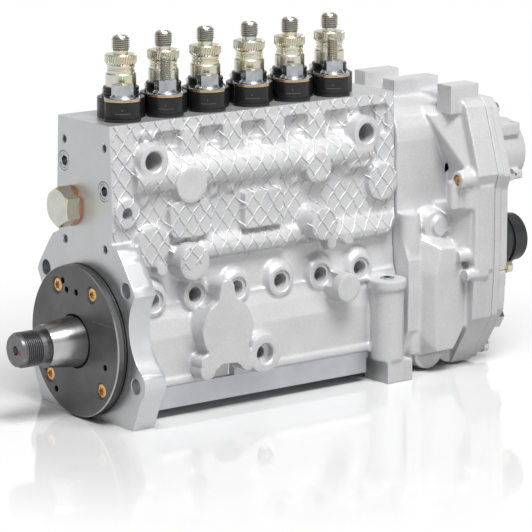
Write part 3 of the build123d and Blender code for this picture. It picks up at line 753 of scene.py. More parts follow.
@dataclass(frozen=True)
class MetalFinish:
    """A metal surface with tone, grain and fine relief."""

    name: str
    light: tuple[float, float, float]
    dark: tuple[float, float, float]
    metallic: float = 1.0
    roughness: float = 0.35
    roughness_swing: float = 0.08
    patch_mm: float = 18.0
    grain_mm: float = 0.6
    grain_depth: float = 0.02
    grain_stretch: tuple[float, float, float] = (1.0, 1.0, 1.0)
    speckle: float = 0.0

    def material(self) -> bpy.types.Material:
        """Builds the finish's material.

        Returns:
            The material.
        """
        sheet = NodeSheet(self.name)
        patches = sheet.noise(self.patch_mm, 3.0)
        grain = sheet.noise(self.grain_mm, 2.0, self.grain_stretch)
        tone = sheet.blend(sheet.spread(patches, 0.0, 1.0), self.light, self.dark)
        if self.speckle:
            fleck = sheet.spread(grain, 1.0 - self.speckle, 1.0, 0.35, 0.65)
            grey = sheet.tree.nodes.new("ShaderNodeCombineColor")
            for channel in ("Red", "Green", "Blue"):
                sheet.join(fleck, grey.inputs[channel])
            node = sheet.tree.nodes.new("ShaderNodeMix")
            node.data_type = "RGBA"
            node.blend_type = "MULTIPLY"
            node.inputs["Factor"].default_value = 1.0
            sheet.join(tone, node.inputs["A"])
            sheet.join(grey.outputs["Color"], node.inputs["B"])
            tone = node.outputs["Result"]
        sheet.join(tone, sheet.shader.inputs["Base Color"])
        sheet.shader.inputs["Metallic"].default_value = self.metallic
        low = max(0.02, self.roughness - self.roughness_swing)
        rough = sheet.spread(grain, low, self.roughness + self.roughness_swing)
        sheet.join(rough, sheet.shader.inputs["Roughness"])
        sheet.join(sheet.bump(grain, self.grain_depth), sheet.shader.inputs["Normal"])
        return sheet.material


@dataclass(frozen=True)
class IridescentZinc:
    """Yellow passivated zinc whose tint drifts between straw, green and rose."""

    name: str
    straw: tuple[float, float, float] = (0.80, 0.66, 0.32)
    green: tuple[float, float, float] = (0.52, 0.66, 0.40)
    rose: tuple[float, float, float] = (0.84, 0.52, 0.40)
    steel: tuple[float, float, float] = (0.60, 0.60, 0.59)
    roughness: float = 0.26
    colour_share: float = 0.62

    def material(self) -> bpy.types.Material:
        """Builds the finish's material.

        Returns:
            The material.
        """
        sheet = NodeSheet(self.name)
        first = sheet.noise(9.0, 2.0, (1.0, 1.0, 0.6))
        second = sheet.noise(5.0, 3.0)
        third = sheet.noise(14.0, 1.0)
        tone = sheet.blend(sheet.spread(first, 0.0, 1.0, 0.38, 0.62), self.straw, self.green)
        tone = sheet.blend(sheet.spread(second, 0.0, 0.9, 0.5, 0.66), tone, self.rose)
        tone = sheet.blend(
            sheet.spread(third, 1.0 - self.colour_share, 0.75, 0.35, 0.62), tone, self.steel
        )
        sheet.join(tone, sheet.shader.inputs["Base Color"])
        sheet.shader.inputs["Metallic"].default_value = 1.0
        grain = sheet.noise(0.7, 2.0, (1.0, 1.0, 0.25))
        rough = sheet.spread(grain, self.roughness - 0.05, self.roughness + 0.08)
        sheet.join(rough, sheet.shader.inputs["Roughness"])
        sheet.join(sheet.bump(grain, 0.006), sheet.shader.inputs["Normal"])
        return sheet.material


@dataclass(frozen=True)
class MouldedFinish:
    """Rubber, plastic or fibre with a fine moulded grain."""

    name: str
    colour: tuple[float, float, float]
    roughness: float = 0.45
    grain_mm: float = 0.5
    grain_depth: float = 0.01

    def material(self) -> bpy.types.Material:
        """Builds the finish's material.

        Returns:
            The material.
        """
        sheet = NodeSheet(self.name)
        patches = sheet.noise(12.0, 2.0)
        lighter = tuple(min(1.0, c * 1.35 + 0.004) for c in self.colour)
        tone = sheet.blend(sheet.spread(patches, 0.0, 1.0), self.colour, lighter)
        sheet.join(tone, sheet.shader.inputs["Base Color"])
        grain = sheet.noise(self.grain_mm, 2.0)
        rough = sheet.spread(grain, self.roughness - 0.06, self.roughness + 0.08)
        sheet.join(rough, sheet.shader.inputs["Roughness"])
        sheet.join(sheet.bump(grain, self.grain_depth), sheet.shader.inputs["Normal"])
        return sheet.material


class FinishSet:
    """Every finish of the pump, made once."""

    def __init__(self) -> None:
        """Makes the materials and keeps them under their slots."""
        self.by_slot: dict[Slot, bpy.types.Material] = {
            Slot.CAST: MetalFinish(
                "blasted_casting", (0.76, 0.76, 0.765), (0.68, 0.68, 0.69), 0.28, 0.40, 0.09,
                26.0, 0.9, 0.05, speckle=0.10,
            ).material(),
            Slot.MACHINED: MetalFinish(
                "ground_steel", (0.66, 0.66, 0.67), (0.52, 0.52, 0.53), 1.0, 0.26, 0.06,
                20.0, 0.5, 0.008, (0.3, 4.0, 4.0),
            ).material(),
            Slot.HARDENED: MetalFinish(
                "hardened_steel", (0.42, 0.42, 0.43), (0.34, 0.34, 0.35), 1.0, 0.3, 0.06, 14.0,
                0.6, 0.01,
            ).material(),
            Slot.PHOSPHATED: MetalFinish(
                "phosphated_steel", (0.150, 0.150, 0.152), (0.105, 0.106, 0.108), 0.75, 0.40, 0.08,
                22.0, 0.7, 0.014,
            ).material(),
            Slot.BLACK: MetalFinish(
                "blackened_steel", (0.022, 0.022, 0.024), (0.014, 0.014, 0.015), 0.4, 0.32, 0.07,
                16.0, 0.6, 0.008,
            ).material(),
            Slot.ZINC: IridescentZinc("yellow_zinc").material(),
            Slot.BRIGHT_ZINC: MetalFinish(
                "bright_zinc", (0.50, 0.51, 0.53), (0.36, 0.37, 0.39), 1.0, 0.2, 0.06, 6.0, 0.8,
                0.008,
            ).material(),
            Slot.PLATE: MetalFinish(
                "rolled_plate", (0.50, 0.51, 0.54), (0.43, 0.44, 0.47), 0.8, 0.40, 0.08, 16.0,
                0.8, 0.02, (4.0, 1.0, 1.0),
            ).material(),
            Slot.COPPER: MetalFinish(
                "copper", (0.58, 0.31, 0.22), (0.46, 0.24, 0.17), 1.0, 0.3, 0.06, 6.0, 0.5, 0.006
            ).material(),
            Slot.BRASS: MetalFinish(
                "gold_zinc", (0.74, 0.50, 0.22), (0.55, 0.33, 0.13), 1.0, 0.28, 0.08, 3.0, 0.5,
                0.006,
            ).material(),
            Slot.RUBBER: MouldedFinish("black_rubber", (0.02, 0.02, 0.021), 0.5).material(),
            Slot.PLASTIC: MouldedFinish("black_plastic", (0.018, 0.019, 0.02), 0.34).material(),
            Slot.GASKET: MouldedFinish("gasket_fibre", (0.16, 0.16, 0.165), 0.75).material(),
        }
        self.milled = MetalFinish(
            "milled_aluminium", (0.66, 0.665, 0.675), (0.60, 0.605, 0.615), 0.7, 0.36, 0.07,
            30.0, 0.5, 0.006,
        ).material()
        # Dark steel: grey for the scribed and punched marks on the black flanges, and painted
        # shade in thread and knurl roots and on the shaft's threaded end
        self.painted_shade_and_marks = MetalFinish(
            "painted_shade_and_marks_steel", (0.20, 0.20, 0.205), (0.15, 0.15, 0.155), 0.9, 0.34, 0.06, 14.0, 0.6,
            0.008,
        ).material()
        self.turned_face = MetalFinish(
            "turned_zinc_face", (0.60, 0.60, 0.56), (0.50, 0.51, 0.47), 1.0, 0.3, 0.05, 12.0, 0.4,
            0.006,
        ).material()
        self.polished = MetalFinish(
            "polished_steel", (0.50, 0.50, 0.50), (0.44, 0.44, 0.445), 1.0, 0.22, 0.02, 40.0,
            0.8, 0.001,
        ).material()
        # Lighter steel: painted highlight on the end cover's rim chamfer and land, and the bare
        # metal of its scribed line
        self.rim_highlight_and_scribe = MetalFinish(
            "painted_rim_highlight_and_scribe", (0.44, 0.44, 0.44), (0.34, 0.34, 0.345), 1.0, 0.28, 0.05, 9.0, 0.6, 0.004,
        ).material()
        self.paint = MouldedFinish("red_paint", (0.62, 0.10, 0.07), 0.5).material()

    def dress(self, piece: bpy.types.Object, slot: Slot) -> None:
        """Gives a piece one finish in all of its material slots.

        Args:
            piece: The mesh object.
            slot: The record's slot that names the finish.
        """
        piece.data.materials.clear()
        piece.data.materials.append(self.by_slot[slot])

    def place_plain(self, piece: bpy.types.Object, slot: Slot, *nodes: str) -> bpy.types.Object:
        """Places a piece of the case that has its slot's finish all over.

        Args:
            piece: The piece.
            slot: The record's slot.
            nodes: The nodes that it stands for.

        Returns:
            The piece.
        """
        return place(piece, "case", slot, [self.by_slot[slot]], nodes)


@dataclass
class PumpCasting:
    """The pump housing: a blasted casting whose faces and bores are machined afterwards.

    A boss is given by its X and Z, how far its face stands out and its radius as cast. The
    fills close the node's hollows before the skin is laid over it.
    """

    finishes: FinishSet
    voxel: float = 1.0
    flange: float = 17.0
    allowance: float = 3.0
    turned_off: float = 0.2
    bosses: tuple[tuple[float, float, float, float], ...] = (
        (30.2, 122, 38, 11.6), (208.8, 122.3, 38, 11.6), (60, 103.5, 39, 12.4),
        (165.5, 104, 40, 11.0), (225, 86.5, 36, 13.0), (164.6, 66, 48, 11.4),
        (58.4, 52, 44, 12.2), (182.8, 19.5, 52, 10.0), (112.6, -16.9, 50, 13.4),
    )
    niches: tuple[float, ...] = (47.5, 82.0, 117.7, 153.4, 187.9)
    fills: tuple[tuple[tuple[float, float, float], tuple[float, float, float]], ...] = (
        ((4, -22, -30.2), (236, 24, 150.3)), ((4, -33, -30.2), (236, 33, 24)),
        ((-2.9, -28.5, 40), (16, 28.5, 150.3)), ((225, -27, 20), (238.8, 27, 146)),
        ((16, -35, -30.2), (209, 35, -18)),
    )

    def blank(self) -> bpy.types.Object:
        """Makes the unmachined casting, with its bores filled and soft edges.

        Returns:
            The blank.
        """
        piece = copy_node("pump_housing", "pump_housing_casting")
        for v in piece.data.vertices:
            if v.co.x < 0.02 * MM:
                v.co.x -= self.allowance * MM
            if v.co.z > (DECK_Z - 0.02) * MM:
                v.co.z += self.allowance * MM
        plugs = Shape().rod(Axis.X, -2.9, 16.8, (0, 0), 37.5)
        for low, high in self.fills:
            plugs.box(low, high)
        for x, _ in FUEL_PORTS:
            plugs.rod(Axis.Y, -37.8, -13, (x, 122.2), 7.6)
        plugs.rod(Axis.Y, -49.8, -25, LOW_PORT, 8.0)
        plugs.rod(Axis.Y, -33.8, -20, FRONT_PORT, 5.2)
        for x in CYLINDER_X:
            plugs.rod(Axis.Y, -36.3, -10, (x, TAPPET_HOLE_Z), 8.4)
        for at in FLANGE_HOLES:
            plugs.rod(Axis.X, -2.9, 16.8, at, 6.3)
        for at in COVER_SCREWS:
            plugs.rod(Axis.X, -2.9, 13, at, 3.6)
        for at in REAR_FEET:
            plugs.rod(Axis.Z, -51.8, 20.7, at, 6.2)
        for at in STRIP_SCREWS:
            plugs.rod(Axis.Z, -30.3, -18, at, 3.6)
        for at in GALLERIES:
            plugs.rod(Axis.X, 2, 226, at, 6.6)
        absorb(piece, plugs)
        self.fairings(piece)
        cast_skin(piece, self.voxel, 5, 0.4)
        return piece

    def fairings(self, piece: bpy.types.Object) -> None:
        """Adds the swollen feet of the bosses that the moulding leaves."""
        feet = Shape()
        for x in CYLINDER_X:
            feet.rod(Axis.Y, -34.5, -27, (x, 29.5), 11.0, 15.0)
        for x, z, face, r in self.bosses:
            feet.rod(Axis.Y, -(face - 2.0), -29, (x, z), r, r + 0.9)
        for x in CYLINDER_X[1:5]:
            feet.box((x - 7.5, -30.6, 119), (x + 7.5, -24, 140))
        feet.box((17, -30.4, 119), (22.5, -24, 141))
        for x in self.niches:
            for low, high, deep in ((117, 121, 1.2), (120, 124, 3.0), (123, 128, 5.0)):
                scoop = [(x - 10.5, -30.0)]
                for k in range(9):
                    turn = math.pi * k / 8
                    scoop.append((x - 9.5 * math.cos(turn), -30.0 + deep * math.sin(turn)))
                scoop += [(x + 10.5, -30.0), (x + 10.5, -22), (x - 10.5, -22)]
                feet.prism(Axis.Z, scoop, low, high)
            for side in (-1, 1):
                corner = [(x + side * 10.6, -30.0), (x + side * 8.8, -26.8),
                          (x + side * 6.2, -24.6), (x + side * 6.2, -22), (x + side * 10.6, -22)]
                feet.prism(Axis.Z, corner, 119, 140)
        for x, z in ((26.2, 139), (33.0, 138.4), (12.0, 124.6), (122.0, 118.5), (158, 119.5)):
            feet.rod(Axis.Y, -31.5, -24, (x, z), 2.2, 3.6)
        for x, z in ((25, 96.5), (52, 97.5), (82, 96.5), (96, 98), (134, 97.5), (150, 97),
                     (178, 97), (196, 98)):
            feet.rod(Axis.Y, -33.6, -28, (x, z), 3.4, 6.0)
        feet.box((196, -36.5, 99), (214, -28, 112))
        upper = [(-28, 121), (-30.5, 119), (-34.6, 114.5), (-36.6, 109.5), (-36.6, 105.5),
                 (-34.8, 102.6), (-31.5, 101.4), (-28, 100.6)]
        feet.prism(Axis.X, upper, 47, 203)
        feet.prism(Axis.X, [(y, z - 1.5) for y, z in upper], 20, 48)
        lower = [(-28, 68), (-32, 66.2), (-35.6, 61.8), (-37.2, 57.5), (-36.2, 53.2),
                 (-33.4, 51.2), (-28, 50)]
        feet.prism(Axis.X, lower, 70, 141)
        feet.prism(Axis.X, [(y, z - 3.2) for y, z in lower], 176, 232)
        feet.box((16, -38.4, -30.2), (209, -34, -27.2))
        for x, z in ((68.3, -23.6), (102.0, -22.6)):
            feet.rod(Axis.Y, -43.6, -33, (x, z), 4.8, 5.6)
        absorb(piece, feet)

    def faces(self, piece: bpy.types.Object) -> None:
        """Mills the front face and the top, and restores the machined boss faces."""
        combine(piece, Shape().box((0, -90, -60), (260, 90, DECK_Z)), Way.CROSS)
        rim = [
            (0, 69.0), (30.5, 69.0), (37.8, 66.4), (43.3, 59.8), (55.8, 42.3), (57.3, 38.2),
            *arc((57.3, 38.2), (50.3, 16.9), (63.0, -10.8), 14),
            *arc((63.0, -10.8), (68.6, -20.5), (64.3, -29.5), 8), (54.4, -52.0),
        ]
        outline = rim + [(-y, z) for y, z in reversed(rim[1:])]
        combine(piece, Shape().prism(Axis.X, outline, 0, self.flange, 0.35), Way.JOIN)
        rings = Shape()
        for x, z, face, r in self.bosses:
            rings.rod(Axis.Y, -face, -29, (x, z), r - self.turned_off, bevel=0.7)
        combine(piece, rings, Way.JOIN)
        collars = Shape()
        for x in CYLINDER_X:
            collars.rod(Axis.Y, -36.5, -26, (x, TAPPET_HOLE_Z), 10.4, bevel=0.6)
        combine(piece, collars, Way.JOIN)
        scoop = [(68.6, -34), (69.6, -24), (71.4, -20.2), (74.6, -17.8), (87.0, -18.6),
                 (90.2, -20.8), (91.8, -24.4), (92.8, -34)]
        combine(piece, Shape().prism(Axis.Y, scoop, -60, -38.6), Way.CUT)
        toes = Shape()
        for x, z, r in ((63.2, -21.4, 6.2), (96.8, -20.4, 5.4)):
            toes.rod(Axis.Y, -52.0, -36, (x, z), r, bevel=0.8)
        combine(piece, toes, Way.JOIN)

    def bores(self, piece: bpy.types.Object) -> None:
        """Cuts the bores, galleries and threaded holes."""
        combine(piece, Shape().rod(Axis.X, 14, 224, (0, 0), 29, sides=64), Way.CUT)
        combine(piece, Shape().box((17, -32, -60), (207, 32, -14)), Way.CUT)
        seats = Shape().rod(Axis.X, -1, 14, (0, 0), 36, sides=96)
        seats.rod(Axis.X, 224, 241, (0, 0), 31, sides=64)
        combine(piece, seats, Way.CUT)
        element = [
            (0, 10), (15.05, 10), (15.05, 80), (13, 80), (13, 97), (12, 97), (12, 101),
            (15.5, 101), (15.5, 128), (12, 128), (12, 150), (0, 150),
        ]
        wells, side = Shape(), Shape()
        for x in CYLINDER_X:
            wells.turned(Axis.Z, element, (x, 0))
            side.turned(
                Axis.Y, [(0, -45), (7.9, -45), (7.9, -36.5), (7.5, -36.0), (7.5, -35.0),
                         (5.2, -35.0), (5.2, -10), (0, -10)], (x, TAPPET_HOLE_Z), 40,
            )
        combine(piece, wells, Way.CUT)
        combine(piece, side, Way.CUT)
        rack = [(0, -1), (8, -1), (8, 10), (7, 10), (7, 15), (5.5, 15), (5.5, 233), (7, 233),
                (7, 241), (0, 241)]
        combine(piece, Shape().turned(Axis.X, rack, RACK_AXIS), Way.CUT)
        combine(piece, Shape().box((16, 4, 83.5), (225, 21.5, 98.5)), Way.CUT)
        gallery = [(0, -1), (6.95, -1), (6.95, 7), (5, 7), (5, 225), (0, 225)]
        pair, ports = Shape(), Shape()
        for at in GALLERIES:
            pair.turned(Axis.X, gallery, at)
        combine(piece, pair, Way.CUT)
        for at in FUEL_PORTS:
            ports.turned(Axis.Y, [(0, -60), (7.6, -60), (7.6, -38.0), (6.6, -37.0), (6.6, -13),
                                  (0, -13)], at)
        ports.turned(Axis.Y, [(0, -60), (7.8, -60), (7.8, -50), (6.8, -49), (6.8, -44),
                              (4, -42.5), (4, -25), (0, -25)], LOW_PORT)
        ports.rod(Axis.Y, -60, -26, FRONT_PORT, 4.0)
        combine(piece, ports, Way.CUT)
        holes = Shape()
        for x in CYLINDER_X:
            for side in (-1, 1):
                dx, dy = stud_offset(side)
                holes.rod(Axis.Z, 133, 150, (x + dx, dy), 4.0, sides=24)
        for at in FLANGE_HOLES:
            holes.turned(Axis.X, [(0, -1), (5.6, -1), (5.6, 0), (5.2, 0.4), (5.2, 18), (0, 18)],
                         at)
        for at in COVER_SCREWS:
            holes.rod(Axis.X, -1, 12, at, 2.5, sides=24)
        for at in FACE_HOLES:
            holes.turned(Axis.X, [(0, -1), (3.2, -1), (3.2, 0), (2.5, 0.7), (2.5, 12), (0, 12)],
                         at, 28)
        for at in CASE_SCREWS:
            holes.rod(Axis.X, 225, 241, at, 3.0, sides=24)
        for at in REAR_FEET:
            holes.turned(Axis.Z, [(0, -53), (4.3, -53), (4.3, 16), (5, 16), (5, 22), (0, 22)],
                         at, 32)
        for at in STRIP_SCREWS:
            holes.rod(Axis.Z, -31.5, -20.4, at, 2.5, sides=20)
        combine(piece, holes, Way.CUT)

    def finish(self, piece: bpy.types.Object) -> None:
        """Tells the machined faces from the cast ones by where each face lies."""
        for face in piece.data.polygons:
            spot, way = face.center / MM, face.normal
            front = spot.x < 0.6 and way.x < -0.6
            top = spot.z > DECK_Z - 0.6 and way.z > 0.6
            rim = spot.x < self.flange + 0.2 and spot.z < 68.9 and abs(way.x) < 0.5 and (
                abs(spot.y) > 44 or spot.z < -45 or (abs(spot.y) > 31 and spot.z > 55)
            )
            bored = math.hypot(spot.y, spot.z) < 37 and spot.x < 15
            face.material_index = 1 if front or top or rim or bored else 0

    def build(self) -> bpy.types.Object:
        """Builds the casting.

        Returns:
            The piece.
        """
        piece = self.blank()
        self.faces(piece)
        self.bores(piece)
        self.finish(piece)
        shade(piece, 30.0)
        cast, milled = self.finishes.by_slot[Slot.CAST], self.finishes.milled
        return place(piece, "case", Slot.CAST, [cast, milled], ("pump_housing",))


@dataclass
class ReliefNet:
    """The raised diamond net that the casting carries on its visible wall."""

    finishes: FinishSet
    casting: bpy.types.Object
    wide: float = 11.2
    tall: float = 15.0
    step: float = 1.3
    thick: float = 0.75
    low: float = 46.0
    reach: float = 110.0
    lines: range = range(-16, 40)
    jump_m: float = 0.007
    outside_m: float = -0.08
    bare: tuple[tuple[float, float, float], ...] = (
        (30.2, 122.0, 12.3), (208.8, 122.3, 12.3), (60.0, 103.5, 13.0),
    )

    def covered(self, x: float, z: float) -> bool:
        """Tells where the net lies.

        Args:
            x: The place along the wall.
            z: The height.

        Returns:
            Whether the net covers it.
        """
        foot = 50.0 + 1.6 * math.sin(x * 0.21) + 1.1 * math.sin(x * 0.53 + 1.0)
        if not (1.0 < x < 238.2 and foot < z < 147.2) or (x < 18 and z < 70):
            return False
        return all(math.hypot(x - cx, z - cz) > r for cx, cz, r in self.bare)

    def build(self) -> bpy.types.Object:
        """Lays the wires of the net on the casting.

        Returns:
            The net's piece.
        """
        bm = bmesh.new()
        bm.from_mesh(self.casting.data)
        tree = BVHTree.FromBMesh(bm)
        bm.free()
        curve = bpy.data.curves.new("net", "CURVE")
        curve.dimensions = "3D"
        curve.bevel_depth = self.thick * MM
        curve.bevel_resolution = 1
        slope = self.tall / self.wide
        length = self.step / math.hypot(1.0, slope)
        for way in (-1, 1):
            for line in self.lines:
                run: list[Vector] = []
                for k in range(int(self.reach / (length * slope)) + 1):
                    z = self.low + k * length * slope
                    x = line * self.wide + way * (z - self.low) / slope
                    x += 0.5 * math.sin(z * 0.31 + line * 1.7) + 0.3 * math.sin(z * 0.83 + line)
                    spot = None
                    if self.covered(x, z):
                        spot, _, _, _ = tree.ray_cast(
                            Vector((x * MM, self.outside_m, z * MM)), Vector((0.0, 1.0, 0.0))
                        )
                    if spot is None or (run and abs(spot.y - run[-1].y) > self.jump_m):
                        self.wire(curve, run)
                        run = []
                    if spot is not None:
                        run.append(spot)
                self.wire(curve, run)
        bent = linked("net", curve)
        view = bpy.context.evaluated_depsgraph_get()
        mesh = bpy.data.meshes.new_from_object(bent.evaluated_get(view))
        bpy.data.objects.remove(bent)
        bpy.data.curves.remove(curve)
        piece = linked("relief_net", mesh)
        shade(piece, 80.0)
        return self.finishes.place_plain(piece, Slot.CAST)

    @staticmethod
    def wire(curve: bpy.types.Curve, run: list[Vector]) -> None:
        """Adds one wire through some points."""
        if len(run) < 3:
            return
        spline = curve.splines.new("POLY")
        spline.points.add(len(run) - 1)
        for point, spot in zip(spline.points, run):
            point.co = (spot.x, spot.y + 0.0001, spot.z, 1.0)


@dataclass
class ElementHeads:
    """What stands on the housing's top: flanges, shims, nuts, studs and valve holders."""

    finishes: FinishSet
    lobe_top: float = 161.0
    shim_top: float = 162.9

    def lobe(self, inset: float, start: float = 2.0) -> list[tuple[float, float]]:
        """The outline of a lobe that points along X.

        Args:
            inset: How far it stays inside the base plate's outline.
            start: Where it starts.

        Returns:
            The outline.
        """
        half, r = 12.0 - inset, 14.2 - inset
        turn = math.asin(half / r)
        rim = [turn * (k / 8 - 1) for k in range(17)]
        points = [(14.8 + r * math.cos(a), r * math.sin(a)) for a in rim]
        if start > 3.0:
            hollow = [math.asin(half / start) * (1 - k / 6) for k in range(13)]
            return points + [(start * math.cos(a), start * math.sin(a)) for a in hollow]
        return [(start, -half), *points, (start, half)]

    def on_all(self, shape: Shape) -> Shape:
        """Repeats a shape on all six elements."""
        return shape.repeat([(x, 0.0, 0.0) for x in CYLINDER_X])

    def flanges(self) -> None:
        """Makes the black barrel flanges with their two lobes, scribed line and punch dot."""
        shape = Shape()
        for turn in (STUD_DEG, STUD_DEG + 180):
            shape.prism(Axis.Z, swung(self.lobe(0.0), turn), DECK_Z, 149.8, 0.35)
            shape.prism(Axis.Z, swung(self.lobe(0.55), turn), 149.7, self.lobe_top, 0.45)
        shape.turned(
            Axis.Z,
            [(10.3, DECK_Z), (16.0, DECK_Z), (16.0, 160.6), (15.6, 161.0), (12.9, 161.0),
             (12.9, 162.6), (12.6, 162.95), (12.0, 163.1), (12.0, 164.9), (11.5, 165.2),
             (11.5, 165.6), (12.0, 165.9), (12.0, 167.3), (11.6, 167.8), (10.3, 167.8)],
            (0, 0), 56,
        )
        shape.mark(0)
        line = [(14.8 + r * math.cos(a), r * math.sin(a)) for r, steps in
                ((13.75, range(-9, 10)), (13.45, range(9, -10, -1)))
                for a in (math.radians(2.4 * k) for k in steps)]
        shape.prism(Axis.Z, swung(line, STUD_DEG + 180), 153.3, 153.6)
        dot = swung([(28.28, -0.6)], STUD_DEG + 180)[0]
        shape.rod(Axis.Z, 155.4, 156.3, dot, 0.45, sides=12)
        shape.mark(1)
        piece = self.on_all(shape).piece("barrel_flanges_turned")
        shade(piece, 34.0)
        black, grey = self.finishes.by_slot[Slot.BLACK], self.finishes.painted_shade_and_marks
        place(piece, "case", Slot.BLACK, [black, grey], ("barrel_flanges",))

    def shims(self) -> None:
        """Makes the stacked shims with bright faces and yellow edges."""
        shape = Shape()
        for turn in (STUD_DEG, STUD_DEG + 180):
            outline = swung(self.lobe(0.2, 13.1), turn)
            shape.prism(Axis.Z, outline, 161.0, 161.9, 0.12)
            shape.prism(Axis.Z, outline, 161.98, self.shim_top, 0.12)
        piece = self.on_all(shape).piece("shims_stacked")
        for face in piece.data.polygons:
            flat, upper = abs(face.normal.z) > 0.5, face.center.z > 161.95 * MM
            face.material_index = 1 if flat or upper else 0
        shade(piece, 34.0)
        edge, top = self.finishes.by_slot[Slot.BRASS], self.finishes.by_slot[Slot.BRIGHT_ZINC]
        place(piece, "case", Slot.BRASS, [edge, top], ("flange_shims",))

    def nuts(self) -> None:
        """Makes the collar nuts with turned off corners."""
        shape, z = Shape(), self.shim_top
        for side in (-1, 1):
            at = stud_offset(side)
            shape.turned(
                Axis.Z, [(4.0, z), (8.1, z), (8.3, z + 0.3), (8.3, z + 0.9), (7.9, z + 1.4),
                         (6.5, z + 2.6), (4.0, z + 2.6)], at, 44,
            )
            shape.hexagon(Axis.Z, z + 2.0, z + 9.2, at, 12.6, 20.0, 6.9)
            shape.turned(
                Axis.Z, [(4.0, z + 9.0), (6.1, z + 9.0), (6.0, z + 9.3), (4.6, z + 9.3),
                         (4.0, z + 8.9)], at, 32,
            )
        piece = self.on_all(shape).piece("collar_nuts")
        shade(piece, 30.0)
        self.finishes.place_plain(piece, Slot.BRIGHT_ZINC, "flange_nuts")

    def studs(self) -> None:
        """Makes the studs, long and threaded beside the second and the sixth element."""
        shape = Shape()
        for number, x in enumerate(CYLINDER_X):
            for side in (-1, 1):
                dx, dy = stud_offset(side)
                at = (x + dx, dy)
                if number in LONG_STUDS:
                    shape.turned(
                        Axis.Z, [(0, 133), (3.9, 133), (3.9, 171.5), (3.45, 172.2), (3.45, 186.2),
                                 (3.75, 186.6), (3.75, 186.9), (3.0, 187.5), (0, 187.5)], at, 32,
                    )
                    shape.thread(Axis.Z, 171.6, 188.0, at, 3.4, 4.0, 1.25, 28)
                else:
                    shape.rod(Axis.Z, 133, 172.6, at, 3.9, sides=28, bevel=0.5)
        piece = shape.piece("studs_threaded")
        feet = [(CYLINDER_X[number] + dx, dy) for number in LONG_STUDS
                for dx, dy in (stud_offset(-1), stud_offset(1))]
        # Painted shade: the core and the thread roots of the long studs get the dark steel
        for face in piece.data.polygons:
            spot = face.center / MM
            reach = min(math.hypot(spot.x - x, spot.y - y) for x, y in feet)
            face.material_index = 1 if 172.3 < spot.z < 186.4 and reach < 3.52 else 0
        shade(piece, 34.0)
        zinc, shadow = self.finishes.by_slot[Slot.ZINC], self.finishes.painted_shade_and_marks
        place(piece, "case", Slot.ZINC, [zinc, shadow], ("flange_studs",))

    def holders(self) -> None:
        """Makes the valve holders with their knurled collar and threaded outlet."""
        shape = Shape()
        shape.turned(
            Axis.Z,
            [(7.2, 144), (10.2, 144), (10.2, 176.1), (9.8, 176.6), (9.3, 177.0), (9.2, 177.6),
             (9.2, 178.8), (8.7, 179.2), (8.7, 180.0), (9.2, 180.5), (9.2, 182.0), (9.9, 183.2),
             (9.9, 188.6), (9.4, 189.3), (5.3, 189.3), (4.9, 189.6), (4.9, 191.6), (5.3, 192.0),
             (5.3, 200.4), (4.7, 201.4), (3.6, 201.5), (3.2, 201.2), (1.2, 197.3), (1.2, 172),
             (7.2, 172)],
            (0, 0), 56,
        )
        levels = []
        for along, crest, root, twist in (
            (182.3, 9.3, 9.3, 0.0), (184.0, 10.7, 9.7, 2.0), (186.4, 10.7, 9.7, 4.6),
            (188.6, 10.7, 9.7, 7.2), (189.2, 10.0, 9.5, 8.0),
        ):
            level = []
            for k in range(36 * 4):
                angle = math.radians(2.5 * k + twist)
                level.append((angle, crest if k % 4 < 2 else root, along))
            levels.append(level)
        shape.lofted(Axis.Z, (0, 0), levels)
        shape.thread(Axis.Z, 192.0, 201.6, (0, 0), 5.3, 6.15, 1.4, 36)
        piece = self.on_all(shape).piece("valve_holders_threaded")
        # Painted shade: the roots of the outlet thread and of the knurl get the dark steel
        for face in piece.data.polygons:
            spot = face.center / MM
            reach = min(math.hypot(spot.x - x, spot.y) for x in CYLINDER_X)
            thread = 192.1 < spot.z < 200.6 and 5.0 < reach < 5.45
            knurl = 183.6 < spot.z < 188.9 and 9.4 < reach < 9.85
            face.material_index = 1 if thread or knurl else 0
        shade(piece, 30.0)
        zinc, shadow = self.finishes.by_slot[Slot.ZINC], self.finishes.painted_shade_and_marks
        place(piece, "case", Slot.ZINC, [zinc, shadow], ("delivery_valve_holders",))

    def build(self) -> None:
        """Builds all the pieces."""
        self.flanges()
        self.shims()
        self.nuts()
        self.studs()
        self.holders()


